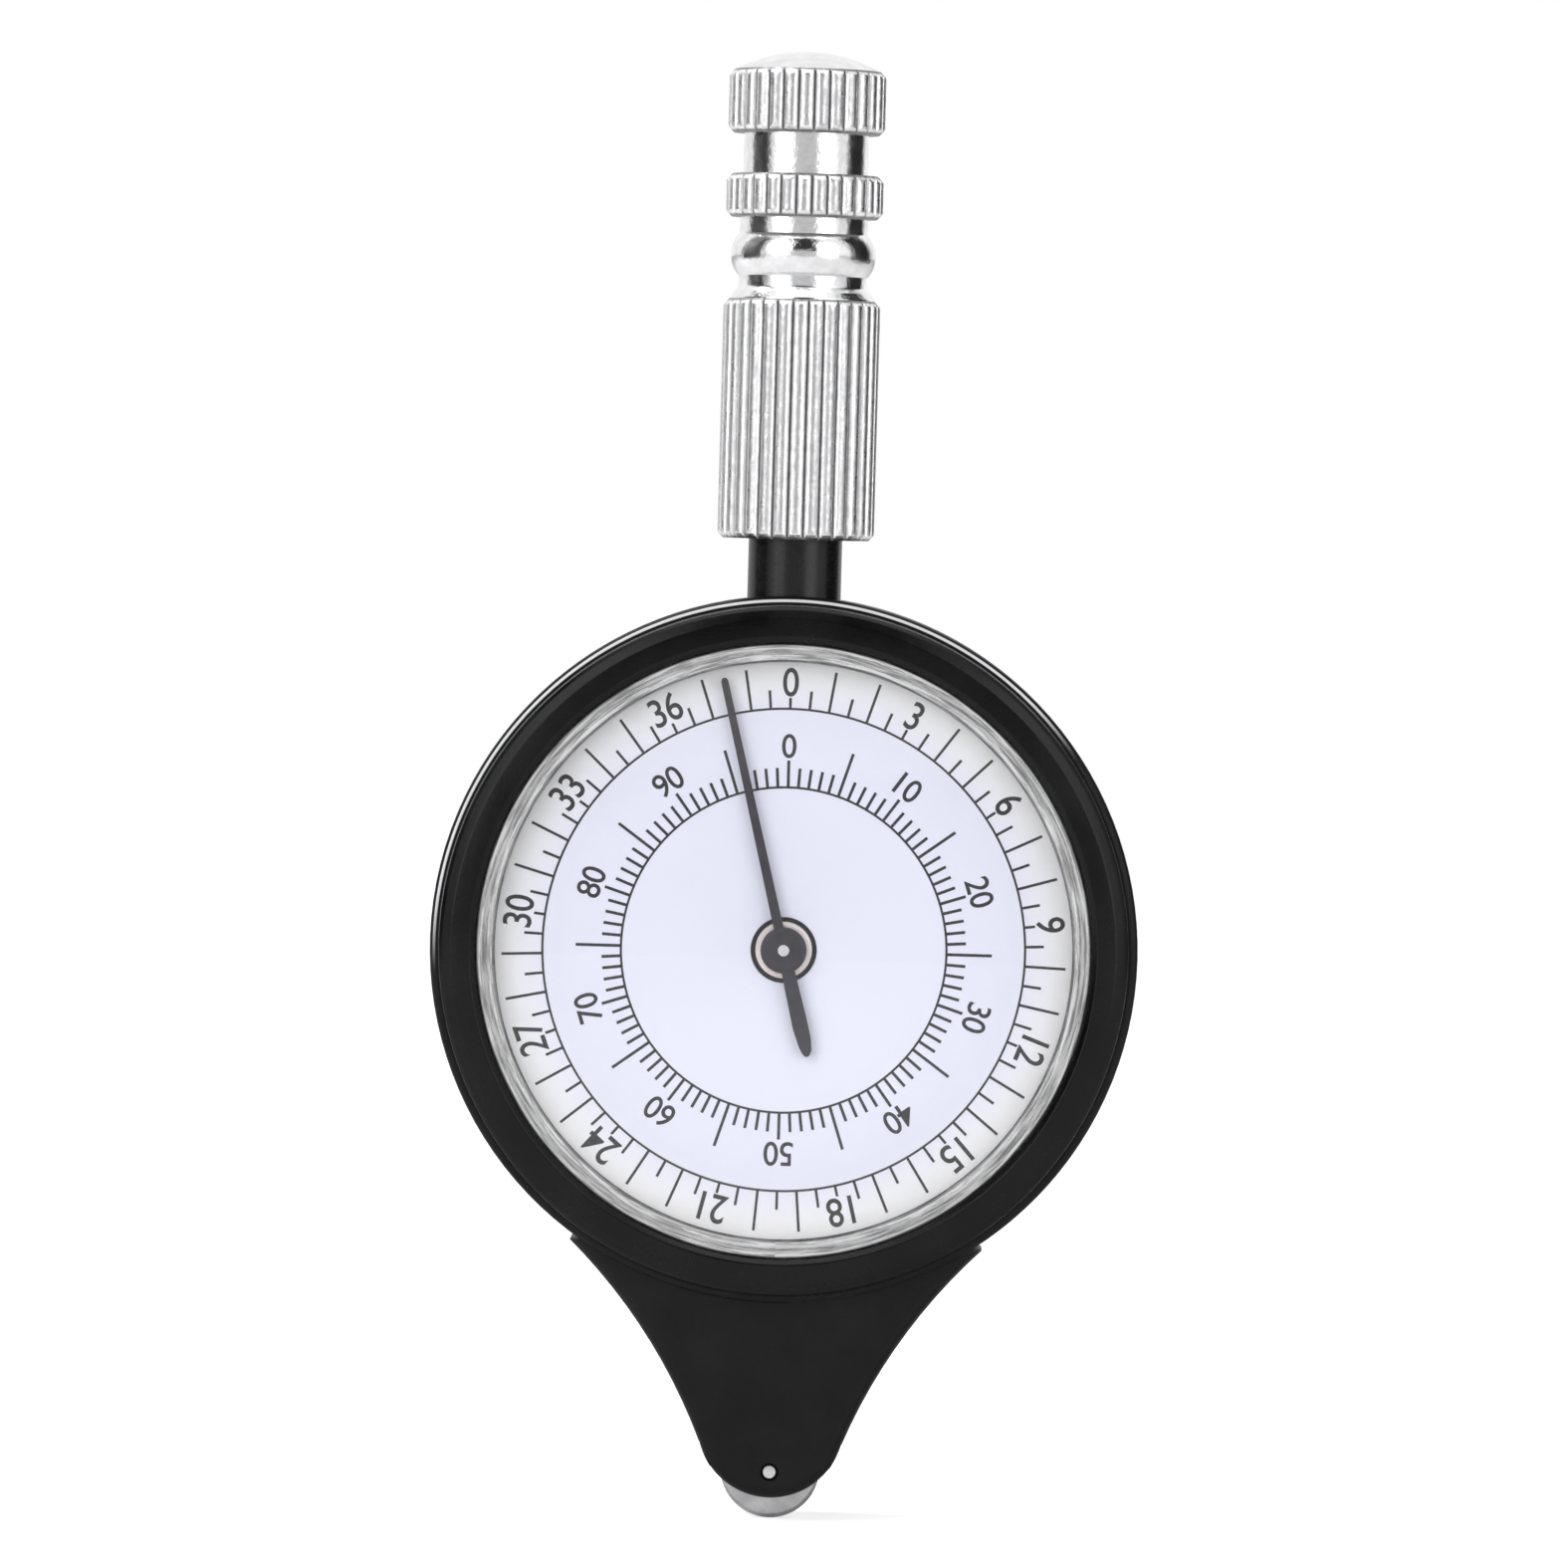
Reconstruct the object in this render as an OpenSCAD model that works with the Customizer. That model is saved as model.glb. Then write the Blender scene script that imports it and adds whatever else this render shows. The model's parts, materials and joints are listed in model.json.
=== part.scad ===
// Mechanical map measurer (opisometer). The tracing wheel rolls along a line on a map, and a
// train of four gear pairs turns the pointer over a round dial: one turn of the pointer for
// every 100 cm that the wheel has rolled.
// Millimetres. +Z runs up along the handle, +X is to the right of someone reading the dial, and
// the dial faces -Y. The origin is the point where the tracing wheel touches the map.
// The case, dial and gears are drawn face on: x to the right, y up from the centre of the dial
// and z towards the reader, with z = 0 in the middle of the tracing wheel. face_on() stands
// them up.

/* [Case] */
// Radius of the round case
case_r = 25; // [22:0.1:32]
// Thickness of the side wall of the case
case_wall = 1.5; // [1:0.05:1.8]
// Front face of the case, before the middle of the tracing wheel
case_front = 4.4; // [4.2:0.1:5.4]
// Back face of the case, behind the middle of the tracing wheel
case_back = 6.3; // [6:0.1:8]
// Rounding between the side and the back of the case
back_round = 3.8; // [2:0.1:4.2]
// Rounding of the front edge of the case
front_round = 0.5; // [0.2:0.05:0.8]
// Thickness of the flat back wall
back_wall = 1.5; // [1.2:0.1:2]

/* [Leg] */
// Front face of the leg, before the middle of the tracing wheel
leg_front = 4.1; // [4:0.05:4.2]
// Back face of the leg, behind the middle of the tracing wheel
leg_back = 5.4; // [5.2:0.05:5.8]
// Wall of the leg beside the gears
leg_wall = 1.1; // [0.8:0.05:1.3]
// Radius of the hollow curve on each side of the leg
flare_r = 40; // [32:1:48]
// How far the leg's ears lie under the place where the leg comes closest to the round case
ear_drop = 1.8097; // [1:0.0001:4]
// Radius of the rounded foot of the leg
foot_r = 5.2; // [5:0.1:5.6]
// How far the foot reaches below the wheel axle
foot_reach = 1.87; // [1.5:0.05:2.2]
// Rounding of the long edges of the leg
leg_round = 0.8; // [0.3:0.1:1]

/* [Bezel and crystal] */
// Radius of the bezel ring
bezel_r = 24.45; // [21.4:0.05:31.4]
// Width of the bezel ring seen from the front
bezel_width = 2.7; // [2.2:0.05:3]
// Height of the bezel ring over the front face of the case
bezel_rise = 1.9; // [1.6:0.1:2.4]
// Rounding of the outer shoulder of the bezel
bezel_round = 1.2; // [0.5:0.1:1.4]
// Thickness of the crystal
crystal_t = 1; // [0.8:0.1:1.2]

/* [Dial and pointer] */
// Thickness of the dial plate
dial_t = 0.4; // [0.2:0.05:0.5]
// Hole in the middle of the dial
dial_hole_r = 2.33; // [2.2:0.01:3]
// Gap between the tip of the pointer and the edge of the dial
pointer_short = 1.9; // [1:0.05:6]
// Length of the pointer's tail
pointer_tail = 7.7; // [5:0.1:10]
// Width of the pointer at its boss
pointer_w = 0.72; // [0.5:0.02:1.2]
// Width of the pointer at its tip
pointer_tip_w = 0.5; // [0.3:0.02:0.8]
// Width of the tail
tail_w = 1.15; // [0.8:0.05:1.8]
// Radius of the pointer's boss
pointer_boss_r = 1.63; // [1.3:0.01:2]
// Where the pointer stands at rest, in degrees short of the zero mark
pointer_rest = 13.9; // [0:0.1:359]

/* [Tracing wheel] */
// Map distance for one turn of the pointer
dial_turn = 1000; // [950:10:1050]
// Width of the tracing wheel
wheel_w = 2; // [1.4:0.1:2.2]
// Radius of the axle
axle_r = 0.57; // [0.4:0.01:0.6]
// Running clearance of the axle and the pivots in their holes
run_gap = 0.06; // [0.03:0.01:0.09]

/* [Gear train] */
// Teeth of the pinion on the wheel axle
wheel_teeth = 8; // [8:1:8]
// Teeth of the first gear
first_teeth = 24; // [24:1:24]
// Teeth of the other pinions
pinion_teeth = 12; // [12:1:12]
// Teeth of the second gear
second_teeth = 30; // [24:1:32]
// Teeth of the third gear
third_teeth = 24; // [20:1:28]
// Teeth of the gear under the pointer
centre_teeth = 36; // [30:1:38]
// Module of the first pair of gears
module_1 = 0.3; // [0.3:0.01:0.32]
// Module of the second pair
module_2 = 0.45; // [0.4:0.01:0.5]
// Module of the third and fourth pairs
module_3 = 0.54; // [0.44:0.01:0.66]
// Thickness of a gear
gear_t = 0.8; // [0.6:0.05:0.9]
// Thinning of each tooth, for play in the mesh
tooth_play = 0.05; // [0.03:0.01:0.07]
// Radius of the gear arbors
arbor_r = 0.8; // [0.7:0.05:1]
// Radius of the arbors' pivots
pivot_r = 0.4; // [0.3:0.05:0.5]

/* [Movement plate] */
// Thickness of the movement plate
plate_t = 0.8; // [0.6:0.05:0.9]
// Half the width of the strap that runs down the leg
strap_half = 2.4; // [1.8:0.1:3]
// Radius of the posts that carry the plate
post_r = 1.6; // [1.4:0.1:2]
// Radius of the screws
screw_r = 0.7; // [0.5:0.05:0.8]
// Radius of the screw heads
screw_head_r = 1.25; // [1:0.05:1.4]

/* [Stem and handle] */
// Radius of the black stem
stem_r = 3.32; // [2.8:0.02:3.6]
// Length of the stem that shows above the case
stem_show = 4; // [2:0.1:8]
// Radius of the stud that holds the handle
stud_r = 1.5; // [1:0.1:2]
// Radius over the knurl of the handle
knurl_r = 5.58; // [5.2:0.02:6.6]
// Depth of the knurl
knurl_depth = 0.32; // [0.1:0.02:0.4]
// Number of knurl teeth
knurl_teeth = 30; // [24:1:48]
// Length of the long knurled sleeve
sleeve_l = 16.95; // [10:0.05:24]
// Length of the lower knurled band
lower_band_l = 3.05; // [1.5:0.05:5]
// Length of the upper knurled band
upper_band_l = 4.5; // [2:0.1:7]
// Length of the plain neck between the two bands
neck_l = 2.9; // [1.5:0.05:5]
// Radius of the plain neck between the two bands
neck_r = 4.42; // [3.4:0.02:4.8]
// Radius of the smooth bead
bead_r = 5.14; // [4.9:0.02:5.2]
// Length of the smooth bead
bead_l = 3; // [2.4:0.1:3.8]
// Radius of the short necks beside the bead
bead_neck_r = 4.55; // [4.2:0.05:4.7]
// Height of the domed end
dome_h = 1.3; // [0.5:0.05:2]

/* [Hidden] */
$fn = 96;
eps = 0.01;             // seat clearance of pieces that are pressed or glued together
air = 0.25;             // clearance around what turns inside the case

// Gear positions, measured down from the centre of the dial
third_y = -module_3 * (centre_teeth + pinion_teeth) / 2;
second_y = third_y - module_3 * (third_teeth + pinion_teeth) / 2;
first_y = second_y - module_2 * (second_teeth + pinion_teeth) / 2;
axle_y = first_y - module_1 * (first_teeth + wheel_teeth) / 2;

// Turns of the tracing wheel for one turn of the pointer, and the wheel that suits the dial
train_ratio = first_teeth / wheel_teeth * second_teeth / pinion_teeth
    * third_teeth / pinion_teeth * centre_teeth / pinion_teeth;
wheel_r = dial_turn / train_ratio / (2 * PI);
dial_z = wheel_r - axle_y;      // height of the dial's centre over the map

// Teeth: addendum shift of pinions and gears, and the tip radii that others must clear
small_shift = 0.5;
shift = 0.3;
pressure = 20;
small_tip_cut = 0.23;
function tip_r(m, z, x) = m * (z / 2 + 1 + x);
centre_tip = tip_r(module_3, centre_teeth, -shift);
first_tip = tip_r(module_1, first_teeth, -small_shift);
first_pinion_tip = tip_r(module_2, pinion_teeth, shift);
second_tip = tip_r(module_2, second_teeth, -shift);

// Depths of the three gear layers (middle of each gear) and of the walls around them
layer_a = 0;
layer_b = -1.75;
layer_c = -2.95;
pinion_t = gear_t + 0.2;
arbor_back = -3.65;             // shoulder of the arbors at the back
arbor_front = 1.45;             // shoulder of the arbors at the front
boss_top = -3.8;                // face of the bearing bosses in the back of the case
pivot_l = 0.9;
pocket_back = -2.45;            // cheeks on both sides of the tracing wheel
pocket_front = 1.45;
leg_room = 2.6;                 // front of the hollow in the leg
plate_back = 1.6;
plate_front = plate_back + plate_t;
neck_arbor_r = arbor_r - 0.2;   // thin front part of the pointer's arbor
thrust_z = plate_back - 0.7;    // shoulder of the pointer's arbor
collar_t = 0.3;
bush_r = dial_hole_r - 0.33;
case_in_r = case_r - case_wall;
floor_z = back_wall - case_back;

// Dial, ledge and crystal
dial_gap = 0.1;
bezel_in_r = bezel_r - bezel_width;
dial_pocket_r = bezel_in_r - 0.05;
dial_r = dial_pocket_r - dial_gap;
ledge_r = dial_r - 1.4;
dial_back = 2.9;
dial_front = dial_back + dial_t;
ledge_t = 0.8;
crystal_back = case_front + 0.2;
crystal_front = crystal_back + crystal_t;
crystal_edge_r = bezel_in_r - 0.06;
flange_r = crystal_edge_r + 1.3;
flange_t = 0.7;
bezel_front = case_front + bezel_rise;
spigot_r = bezel_r - 0.2;
spigot_w = 0.4;
spigot_l = 0.8;

// Leg outline: hollow curves that meet the round foot smoothly and pass close by the case
foot_y = axle_y - foot_reach + foot_r;
flare_out = case_r + 0.3 + flare_r;
flare_angle = acos((pow(flare_out, 2) + pow(foot_y, 2) - pow(flare_r + foot_r, 2))
    / (-2 * flare_out * foot_y));
flare_x = flare_out * sin(flare_angle);
flare_y = -flare_out * cos(flare_angle);
meeting_y = foot_y + foot_r * (flare_y - foot_y) / (flare_r + foot_r);
round_top = meeting_y - 1.16;   // upper end of the rounding of the foot's edge
ear_y = -case_r * cos(flare_angle) - ear_drop;
ear_x = flare_x - sqrt(pow(flare_r, 2) - pow(ear_y - flare_y, 2));
ramp_angle = 35;                // slope from the ears up to the back of the leg
deep_wall = leg_wall + 2;       // wall beside the deeper hollow, under that slope
slot_top = axle_y + 1.55;       // top of the open slot for the tracing wheel
slot_gap = 0.35;
axle_back = 0.8 - leg_back;     // back end of the wheel axle

// Movement plate, its posts and the case screws
post_ring_r = centre_tip + 1.2 + post_r;
plate_r = post_ring_r + 2.2;
post_angles = [25, 155, 215, -35];
case_boss_r = 1.8;
case_screw_ring_r = case_in_r - 3.4;
case_screw_angles = [45, 135, 225, 315];
pilot_r = screw_r - 0.1;
screw_head_t = 0.6;
slot_w = 0.3;
slot_deep = 0.25;
screw_l = 3;
case_seat = 0.9 - case_back;    // seat of the case screws' heads
case_screw_end = dial_back - 1;

// Stem and handle
stem_bottom = case_in_r - 1.2;  // underside of the stem's flange, up from the dial's centre
stem_flange_r = stem_r + 0.65;
stem_flange_t = 1;
stem_top = case_r + stem_show;
stud_down = 5;
stud_up = 8;
knurl_end = 0.42;               // chamfer at the ends of each knurled band
cone_l = 0.85;
lower_neck_l = 0.8;             // necks under and over the bead
upper_neck_l = 1.15;
bead_foot = sleeve_l + cone_l + lower_neck_l;
band_foot = bead_foot + bead_l + upper_neck_l;
neck_foot = band_foot + lower_band_l;
upper_foot = neck_foot + neck_l;
dome_foot = upper_foot + upper_band_l;
dome_r = knurl_r - knurl_end;
dome_ball_r = (dome_r * dome_r + dome_h * dome_h) / (2 * dome_h);

// ---- helpers ---------------------------------------------------------------------------

// Stands up what is drawn face on.
module face_on() {
    translate([0, 0, dial_z])
        rotate([90, 0, 0])
            children();
}

// Puts a child at each point of a ring around the dial's centre.
module on_ring(r, angles) {
    for (a = angles)
        translate([r * cos(a), r * sin(a), 0])
            children();
}

// A disc or a bar of radius r between two depths.
module disc(r, back, front) {
    translate([0, 0, back])
        cylinder(r = r, h = front - back);
}

// A flat ring between two depths.
module ring(r, hole_r, back, front) {
    difference() {
        disc(r, back, front);
        disc(hole_r, back - 1, front + 1);
    }
}

// What a rounding of radius e takes off a square corner at [x, y]. Material lies towards
// [x + e * side, y - e].
module corner_cut(x, y, e, side) {
    difference() {
        translate([side > 0 ? x - 1 : x - e, y - e])
            square([e + 1, e + 1]);
        translate([x + side * e, y - e])
            circle(r = e);
    }
}

// Involute teeth. involute_angle is how far the flank has turned at radius r.
function roll(base, r) = sqrt(max(0, r * r / base / base - 1));
function involute_angle(base, r) = roll(base, r) * 180 / PI - atan(roll(base, r));

// Half the angle that a tooth fills at radius r.
function half_tooth(m, z, x, base, r) = (90 / z + 2 * x * tan(pressure) / z * 180 / PI)
    + involute_angle(base, m * z / 2) - involute_angle(base, max(base, r))
    - tooth_play / (m * z) * 180 / PI;

// Radii down one flank, from the tip to the root.
function flank_radii(tip, base, root) = let (low = max(base, root))
    [tip, low + (tip - low) * 0.55, low + (tip - low) * 0.2, low, root];

// Outline of a gear with a tooth pointing up. cut shortens the tips.
module gear_outline(m, z, x, cut) {
    base = m * z / 2 * cos(pressure);
    tip = tip_r(m, z, x) - cut * m;
    root = m * (z / 2 - 1.25 + x);
    radii = flank_radii(tip, base, root);
    last = len(radii) - 1;
    polygon([
        for (i = [0 : z - 1], side = [-1, 1], k = [0 : last])
            let (
                r = side < 0 ? radii[last - k] : radii[k],
                a = 90 - i * 360 / z - side * half_tooth(m, z, x, base, r)
            )
            [r * cos(a), r * sin(a)]
    ]);
}

// ---- case ------------------------------------------------------------------------------

// Outline of the leg, drawn in by inset all round.
module leg_outline(inset) {
    difference() {
        union() {
            translate([-flare_x, foot_y - foot_r / 4])
                square([2 * flare_x, -foot_y + foot_r / 4 - case_r / 2]);
            translate([0, foot_y])
                circle(r = foot_r - inset);
        }
        for (side = [-1, 1])
            translate([side * flare_x, flare_y])
                circle(r = flare_r + inset);
        outside_case(inset);
    }
}

// All that lies beside the leg above its two ears, where it runs up inside the round case.
module outside_case(inset) {
    difference() {
        translate([-2 * flare_x, ear_y - inset])
            square([4 * flare_x, inset - ear_y]);
        circle(r = case_r - inset - case_wall / 2);
    }
}

// One half of the leg as a solid block with rounded long edges, from z = 0 out to depth.
module leg_block(depth) {
    difference() {
        linear_extrude(height = depth)
            leg_outline(0);
        for (side = [-1, 1])
            translate([side * flare_x, flare_y, 0])
                rotate_extrude($fn = 240)
                    corner_cut(flare_r, depth, leg_round, 1);
        intersection() {
            translate([0, foot_y, 0])
                rotate_extrude()
                    corner_cut(foot_r, depth, leg_round, -1);
            translate([-2 * foot_r, foot_y - 2 * foot_r, 0])
                cube([4 * foot_r, round_top - foot_y + 2 * foot_r, 2 * depth]);
        }
    }
}

// Slopes that let the leg run out into the rounded rim of the back.
module leg_ramps() {
    for (side = [0, 1])
        mirror([side, 0, 0])
            translate([-ear_x, -2 * case_r, case_back - back_round])
                rotate([0, -ramp_angle, 0])
                    translate([-case_r / 2, 0, 0])
                        cube([case_r, 2 * case_r, case_r / 2]);
}

// Room for the gears in the leg, from z = 0 out to depth, with a wall beside it.
module leg_hollow(depth, end_r, wall) {
    linear_extrude(height = depth)
        intersection() {
            leg_outline(wall);
            translate([-case_r, first_y - strap_half - 2 * air])
                square([2 * case_r, -first_y]);
        }
    translate([0, first_y, 0])
        cylinder(r = end_r, h = depth);
    translate([0, second_y, 0])
        cylinder(r = second_tip + air, h = depth);
}

// Open slot for the tracing wheel, from z = 0 out to depth.
module wheel_slot(depth) {
    translate([0, axle_y, 0])
        cylinder(r = wheel_r + slot_gap, h = depth);
    translate([-2 * foot_r, axle_y - 2 * foot_r, 0])
        cube([4 * foot_r, slot_top - axle_y + 2 * foot_r, depth]);
}

// Room for the stem and its flange, cut from both halves of the case.
module stem_room() {
    translate([0, stem_bottom - 0.05, 0])
        rotate([-90, 0, 0])
            cylinder(r = stem_flange_r + eps, h = stem_flange_t + 0.1);
    translate([0, stem_bottom, 0])
        rotate([-90, 0, 0])
            cylinder(r = stem_r + eps, h = case_r);
}

// Black plastic front half of the case: rim, ledge for the dial and front half of the leg.
module front_case() {
    color([0.14, 0.14, 0.15])
    face_on()
    difference() {
        union() {
            difference() {
                rotate_extrude()
                    difference() {
                        square([case_r, case_front]);
                        corner_cut(case_r, case_front, front_round, -1);
                    }
                disc(case_in_r, -1, dial_back - ledge_t);
                disc(ledge_r, -1, case_front + 1);
            }
            leg_front_half();
            intersection() {
                on_ring(case_screw_ring_r, case_screw_angles)
                    disc(case_boss_r, 0, dial_back);
                disc(case_in_r + 0.5, 0, dial_back);
            }
        }
        disc(dial_pocket_r, dial_back, case_front + 1);
        ring(spigot_r + 0.05, spigot_r - spigot_w - 0.05, case_front - spigot_l - 0.05, case_front + 1);
        on_ring(case_screw_ring_r, case_screw_angles)
            disc(pilot_r, -1, case_screw_end + 0.4);
        leg_hollow(leg_room, first_tip + air, leg_wall);
        wheel_slot(pocket_front);
        translate([0, axle_y, 0])
            disc(axle_r + run_gap, 0, case_front);
        stem_room();
    }
}

// The front of the leg, outside the room for the dial and the movement.
module leg_front_half() {
    difference() {
        leg_block(leg_front);
        disc(ledge_r, -1, case_front + 1);
    }
}

// Black plastic back half of the case: dished back, bearing bosses, posts and half of the leg.
module rear_case() {
    color([0.13, 0.13, 0.14])
    face_on()
    difference() {
        union() {
            difference() {
                union() {
                    rear_dish();
                    mirror([0, 0, 1])
                        difference() {
                            leg_block(leg_back);
                            leg_ramps();
                        }
                }
                rear_room();
                mirror([0, 0, 1])
                    leg_hollow(-pocket_back, first_tip + air, leg_wall);
                mirror([0, 0, 1])
                    leg_hollow(-boss_top, first_pinion_tip + air, deep_wall);
                mirror([0, 0, 1])
                    wheel_slot(-pocket_back);
            }
            on_ring(post_ring_r, post_angles)
                disc(post_r, floor_z - eps, plate_back);
            on_ring(case_screw_ring_r, case_screw_angles)
                disc(case_boss_r, floor_z - eps, 0);
            for (y = [0, third_y, second_y, first_y])
                translate([0, y, 0])
                    disc(2 * arbor_r, floor_z - eps, boss_top);
        }
        for (y = [0, third_y, second_y, first_y])
            translate([0, y, 0])
                disc(pivot_r + run_gap, arbor_back - pivot_l - 0.1, 0);
        translate([0, axle_y, 0])
            disc(axle_r + run_gap, axle_back - eps, 0);
        on_ring(post_ring_r, post_angles)
            disc(pilot_r, plate_back - screw_l - 0.4, plate_back + 1);
        on_ring(case_screw_ring_r, case_screw_angles) {
            disc(screw_r + 0.1, -case_back - 1, 1);
            disc(screw_head_r + 0.15, -case_back - 1, case_seat);
        }
        stem_room();
    }
}

// The solid dish of the back, with its rounded rim.
module rear_dish() {
    mirror([0, 0, 1])
        rotate_extrude()
            difference() {
                square([case_r, case_back]);
                corner_cut(case_r, case_back, back_round, -1);
            }
}

// Room for the movement in the dish, chamfered to follow the rounded rim.
module rear_room() {
    bevel = back_round / 2;
    mirror([0, 0, 1])
        rotate_extrude()
            polygon([
                [0, -1], [case_in_r, -1], [case_in_r, -floor_z - bevel],
                [case_in_r - bevel, -floor_z], [0, -floor_z]
            ]);
}

// Four pan-head screws that hold the case halves together from behind.
module case_screws() {
    color([0.75, 0.75, 0.77])
    face_on()
    on_ring(case_screw_ring_r, case_screw_angles)
    difference() {
        union() {
            disc(screw_head_r, case_seat - screw_head_t, case_seat);
            disc(pilot_r - eps, case_seat, case_screw_end);
        }
        screw_slot(case_seat - screw_head_t);
    }
}

// The slot across a screw head whose outer face lies at depth z.
module screw_slot(z) {
    translate([-2 * screw_head_r, -slot_w / 2, z - 1])
        cube([4 * screw_head_r, slot_w, 1 + slot_deep]);
}

// Black snap ring with a rounded shoulder, pressed into a groove in the front of the case.
module bezel_ring() {
    color([0.16, 0.16, 0.17])
    face_on()
    rotate_extrude()
    difference() {
        union() {
            translate([bezel_in_r, case_front])
                square([bezel_width, bezel_rise]);
            translate([spigot_r - spigot_w, case_front - spigot_l])
                square([spigot_w, spigot_l + 0.5]);
        }
        corner_cut(bezel_r, bezel_front, bezel_round, -1);
        corner_cut(bezel_in_r, bezel_front, 0.3, 1);
        translate([bezel_in_r - 1, case_front - 1])
            square([flange_r + 0.05 - bezel_in_r + 1, flange_t + 1.05]);
    }
}

// Clear moulded crystal: a flat pane with a raised rim, and a flange that the bezel clamps.
module crystal() {
    rim_w = 1.25;
    rim_h = 0.15;
    color([0.85, 0.9, 0.95, 0.35])
    face_on()
    rotate_extrude()
    union() {
        translate([0, crystal_back])
            square([crystal_edge_r, crystal_t]);
        translate([crystal_edge_r - rim_w, crystal_back])
            square([rim_w, crystal_t + rim_h]);
        translate([crystal_edge_r - rim_w, case_front])
            square([flange_r - crystal_edge_r + rim_w, flange_t]);
    }
}

// ---- dial and pointer ------------------------------------------------------------------

// White dial plate with its two printed scales left to the finish.
module dial() {
    color([0.94, 0.94, 0.95])
    face_on()
    ring(dial_r, dial_hole_r, dial_back, dial_front);
}

// Dark pressed pointer with a round boss and a counterweight tail.
module pointer() {
    tip_l = dial_r - pointer_short;
    color([0.33, 0.32, 0.36])
    face_on()
    rotate([0, 0, pointer_rest])
    difference() {
        union() {
            translate([0, 0, dial_front + 0.45])
                linear_extrude(height = 0.3)
                    pointer_outline(tip_l);
            disc(pointer_boss_r, dial_front + 0.25, dial_front + 0.85);
        }
        disc(pivot_r + eps, 0, case_front + 2);
    }
}

// Outline of the pointer pointing up.
module pointer_outline(tip_l) {
    polygon([
        [-pointer_w / 2, 0], [-pointer_tip_w / 2, tip_l - pointer_tip_w / 2],
        [pointer_tip_w / 2, tip_l - pointer_tip_w / 2], [pointer_w / 2, 0]
    ]);
    translate([0, tip_l - pointer_tip_w / 2])
        circle(r = pointer_tip_w / 2);
    polygon([
        [-pointer_w / 2, 0], [pointer_w / 2, 0], [tail_w / 2, -3], [tail_w / 2, 1 - pointer_tail],
        [tail_w / 6, -pointer_tail], [-tail_w / 3, 0.3 - pointer_tail],
        [-tail_w / 2, 1.2 - pointer_tail], [-tail_w / 2, -3]
    ]);
}

// ---- gear train ------------------------------------------------------------------------

// A brass gear with a tooth gap pointing down, pressed on an arbor, with holes to lighten it.
module brass_gear(y, m, z, x, layer, holes) {
    root = m * (z / 2 - 1.25 + x);
    hole_ring = (root + arbor_r) / 2 + 0.2;
    hole_r = holes > 0 ? hole_ring * sin(180 / holes) - 0.7 : 0;
    color([0.8, 0.65, 0.32])
    face_on()
    translate([0, y, layer])
    difference() {
        translate([0, 0, -gear_t / 2])
            linear_extrude(height = gear_t)
                rotate([0, 0, 180 + 180 / z])
                    gear_outline(m, z, x, 0);
        disc(arbor_r + eps, -gear_t, gear_t);
        if (holes > 0)
            on_ring(hole_ring, [for (i = [0 : holes - 1]) 90 + i * 360 / holes])
                disc(hole_r, -gear_t, gear_t);
    }
}

// A steel arbor with its pivots and a pinion of twelve teeth, one tooth pointing up.
module steel_pinion(y, m, layer) {
    color([0.7, 0.71, 0.73])
    face_on()
    translate([0, y, 0]) {
        translate([0, 0, layer - pinion_t / 2])
            linear_extrude(height = pinion_t)
                gear_outline(m, pinion_teeth, shift, 0);
        disc(arbor_r, arbor_back, arbor_front);
        disc(pivot_r, arbor_back - pivot_l, arbor_front + pivot_l);
    }
}

module centre_gear() {
    brass_gear(0, module_3, centre_teeth, -shift, layer_b, 6);
}

module third_gear() {
    brass_gear(third_y, module_3, third_teeth, -shift, layer_a, 5);
}

module second_gear() {
    brass_gear(second_y, module_2, second_teeth, -shift, layer_c, 5);
}

module first_gear() {
    brass_gear(first_y, module_1, first_teeth, -small_shift, layer_b, 0);
}

module third_pinion() {
    steel_pinion(third_y, module_3, layer_b);
}

module second_pinion() {
    steel_pinion(second_y, module_3, layer_a);
}

module first_pinion() {
    steel_pinion(first_y, module_2, layer_c);
}

// Steel arbor that carries the centre gear and, through the bush and the dial, the pointer.
module pointer_arbor() {
    color([0.78, 0.79, 0.8])
    face_on() {
        disc(arbor_r, arbor_back, thrust_z);
        disc(pivot_r, arbor_back - pivot_l, dial_front + 1);
        disc(neck_arbor_r, thrust_z, dial_front + 0.2);
    }
}

// Brass bush that guides the pointer arbor through the movement plate and the dial.
module centre_bush() {
    color([0.83, 0.68, 0.5])
    face_on()
    difference() {
        union() {
            disc(bush_r, plate_back - collar_t, dial_front - 0.15);
            disc(dial_hole_r + 0.3, plate_back - collar_t, plate_back);
        }
        disc(neck_arbor_r + run_gap, 0, dial_front + 1);
    }
}

// Thin washer between the shoulder of the pointer arbor and the bush.
module thrust_washer() {
    color([0.9, 0.9, 0.88])
    face_on()
    ring(bush_r + 0.2, neck_arbor_r + run_gap, plate_back - 0.6, plate_back - 0.35);
}

// ---- tracing wheel ---------------------------------------------------------------------

// Steel pinion of eight teeth with a hub that keeps it off the tracing wheel.
module wheel_pinion() {
    color([0.7, 0.71, 0.73])
    face_on()
    translate([0, axle_y, 0])
    difference() {
        union() {
            translate([0, 0, layer_b - pinion_t / 2])
                linear_extrude(height = pinion_t)
                    gear_outline(module_1, wheel_teeth, small_shift, small_tip_cut);
            disc(axle_r + 0.35, layer_b + pinion_t / 2, -wheel_w / 2);
        }
        disc(axle_r + eps, pocket_back, 0);
    }
}

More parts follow.
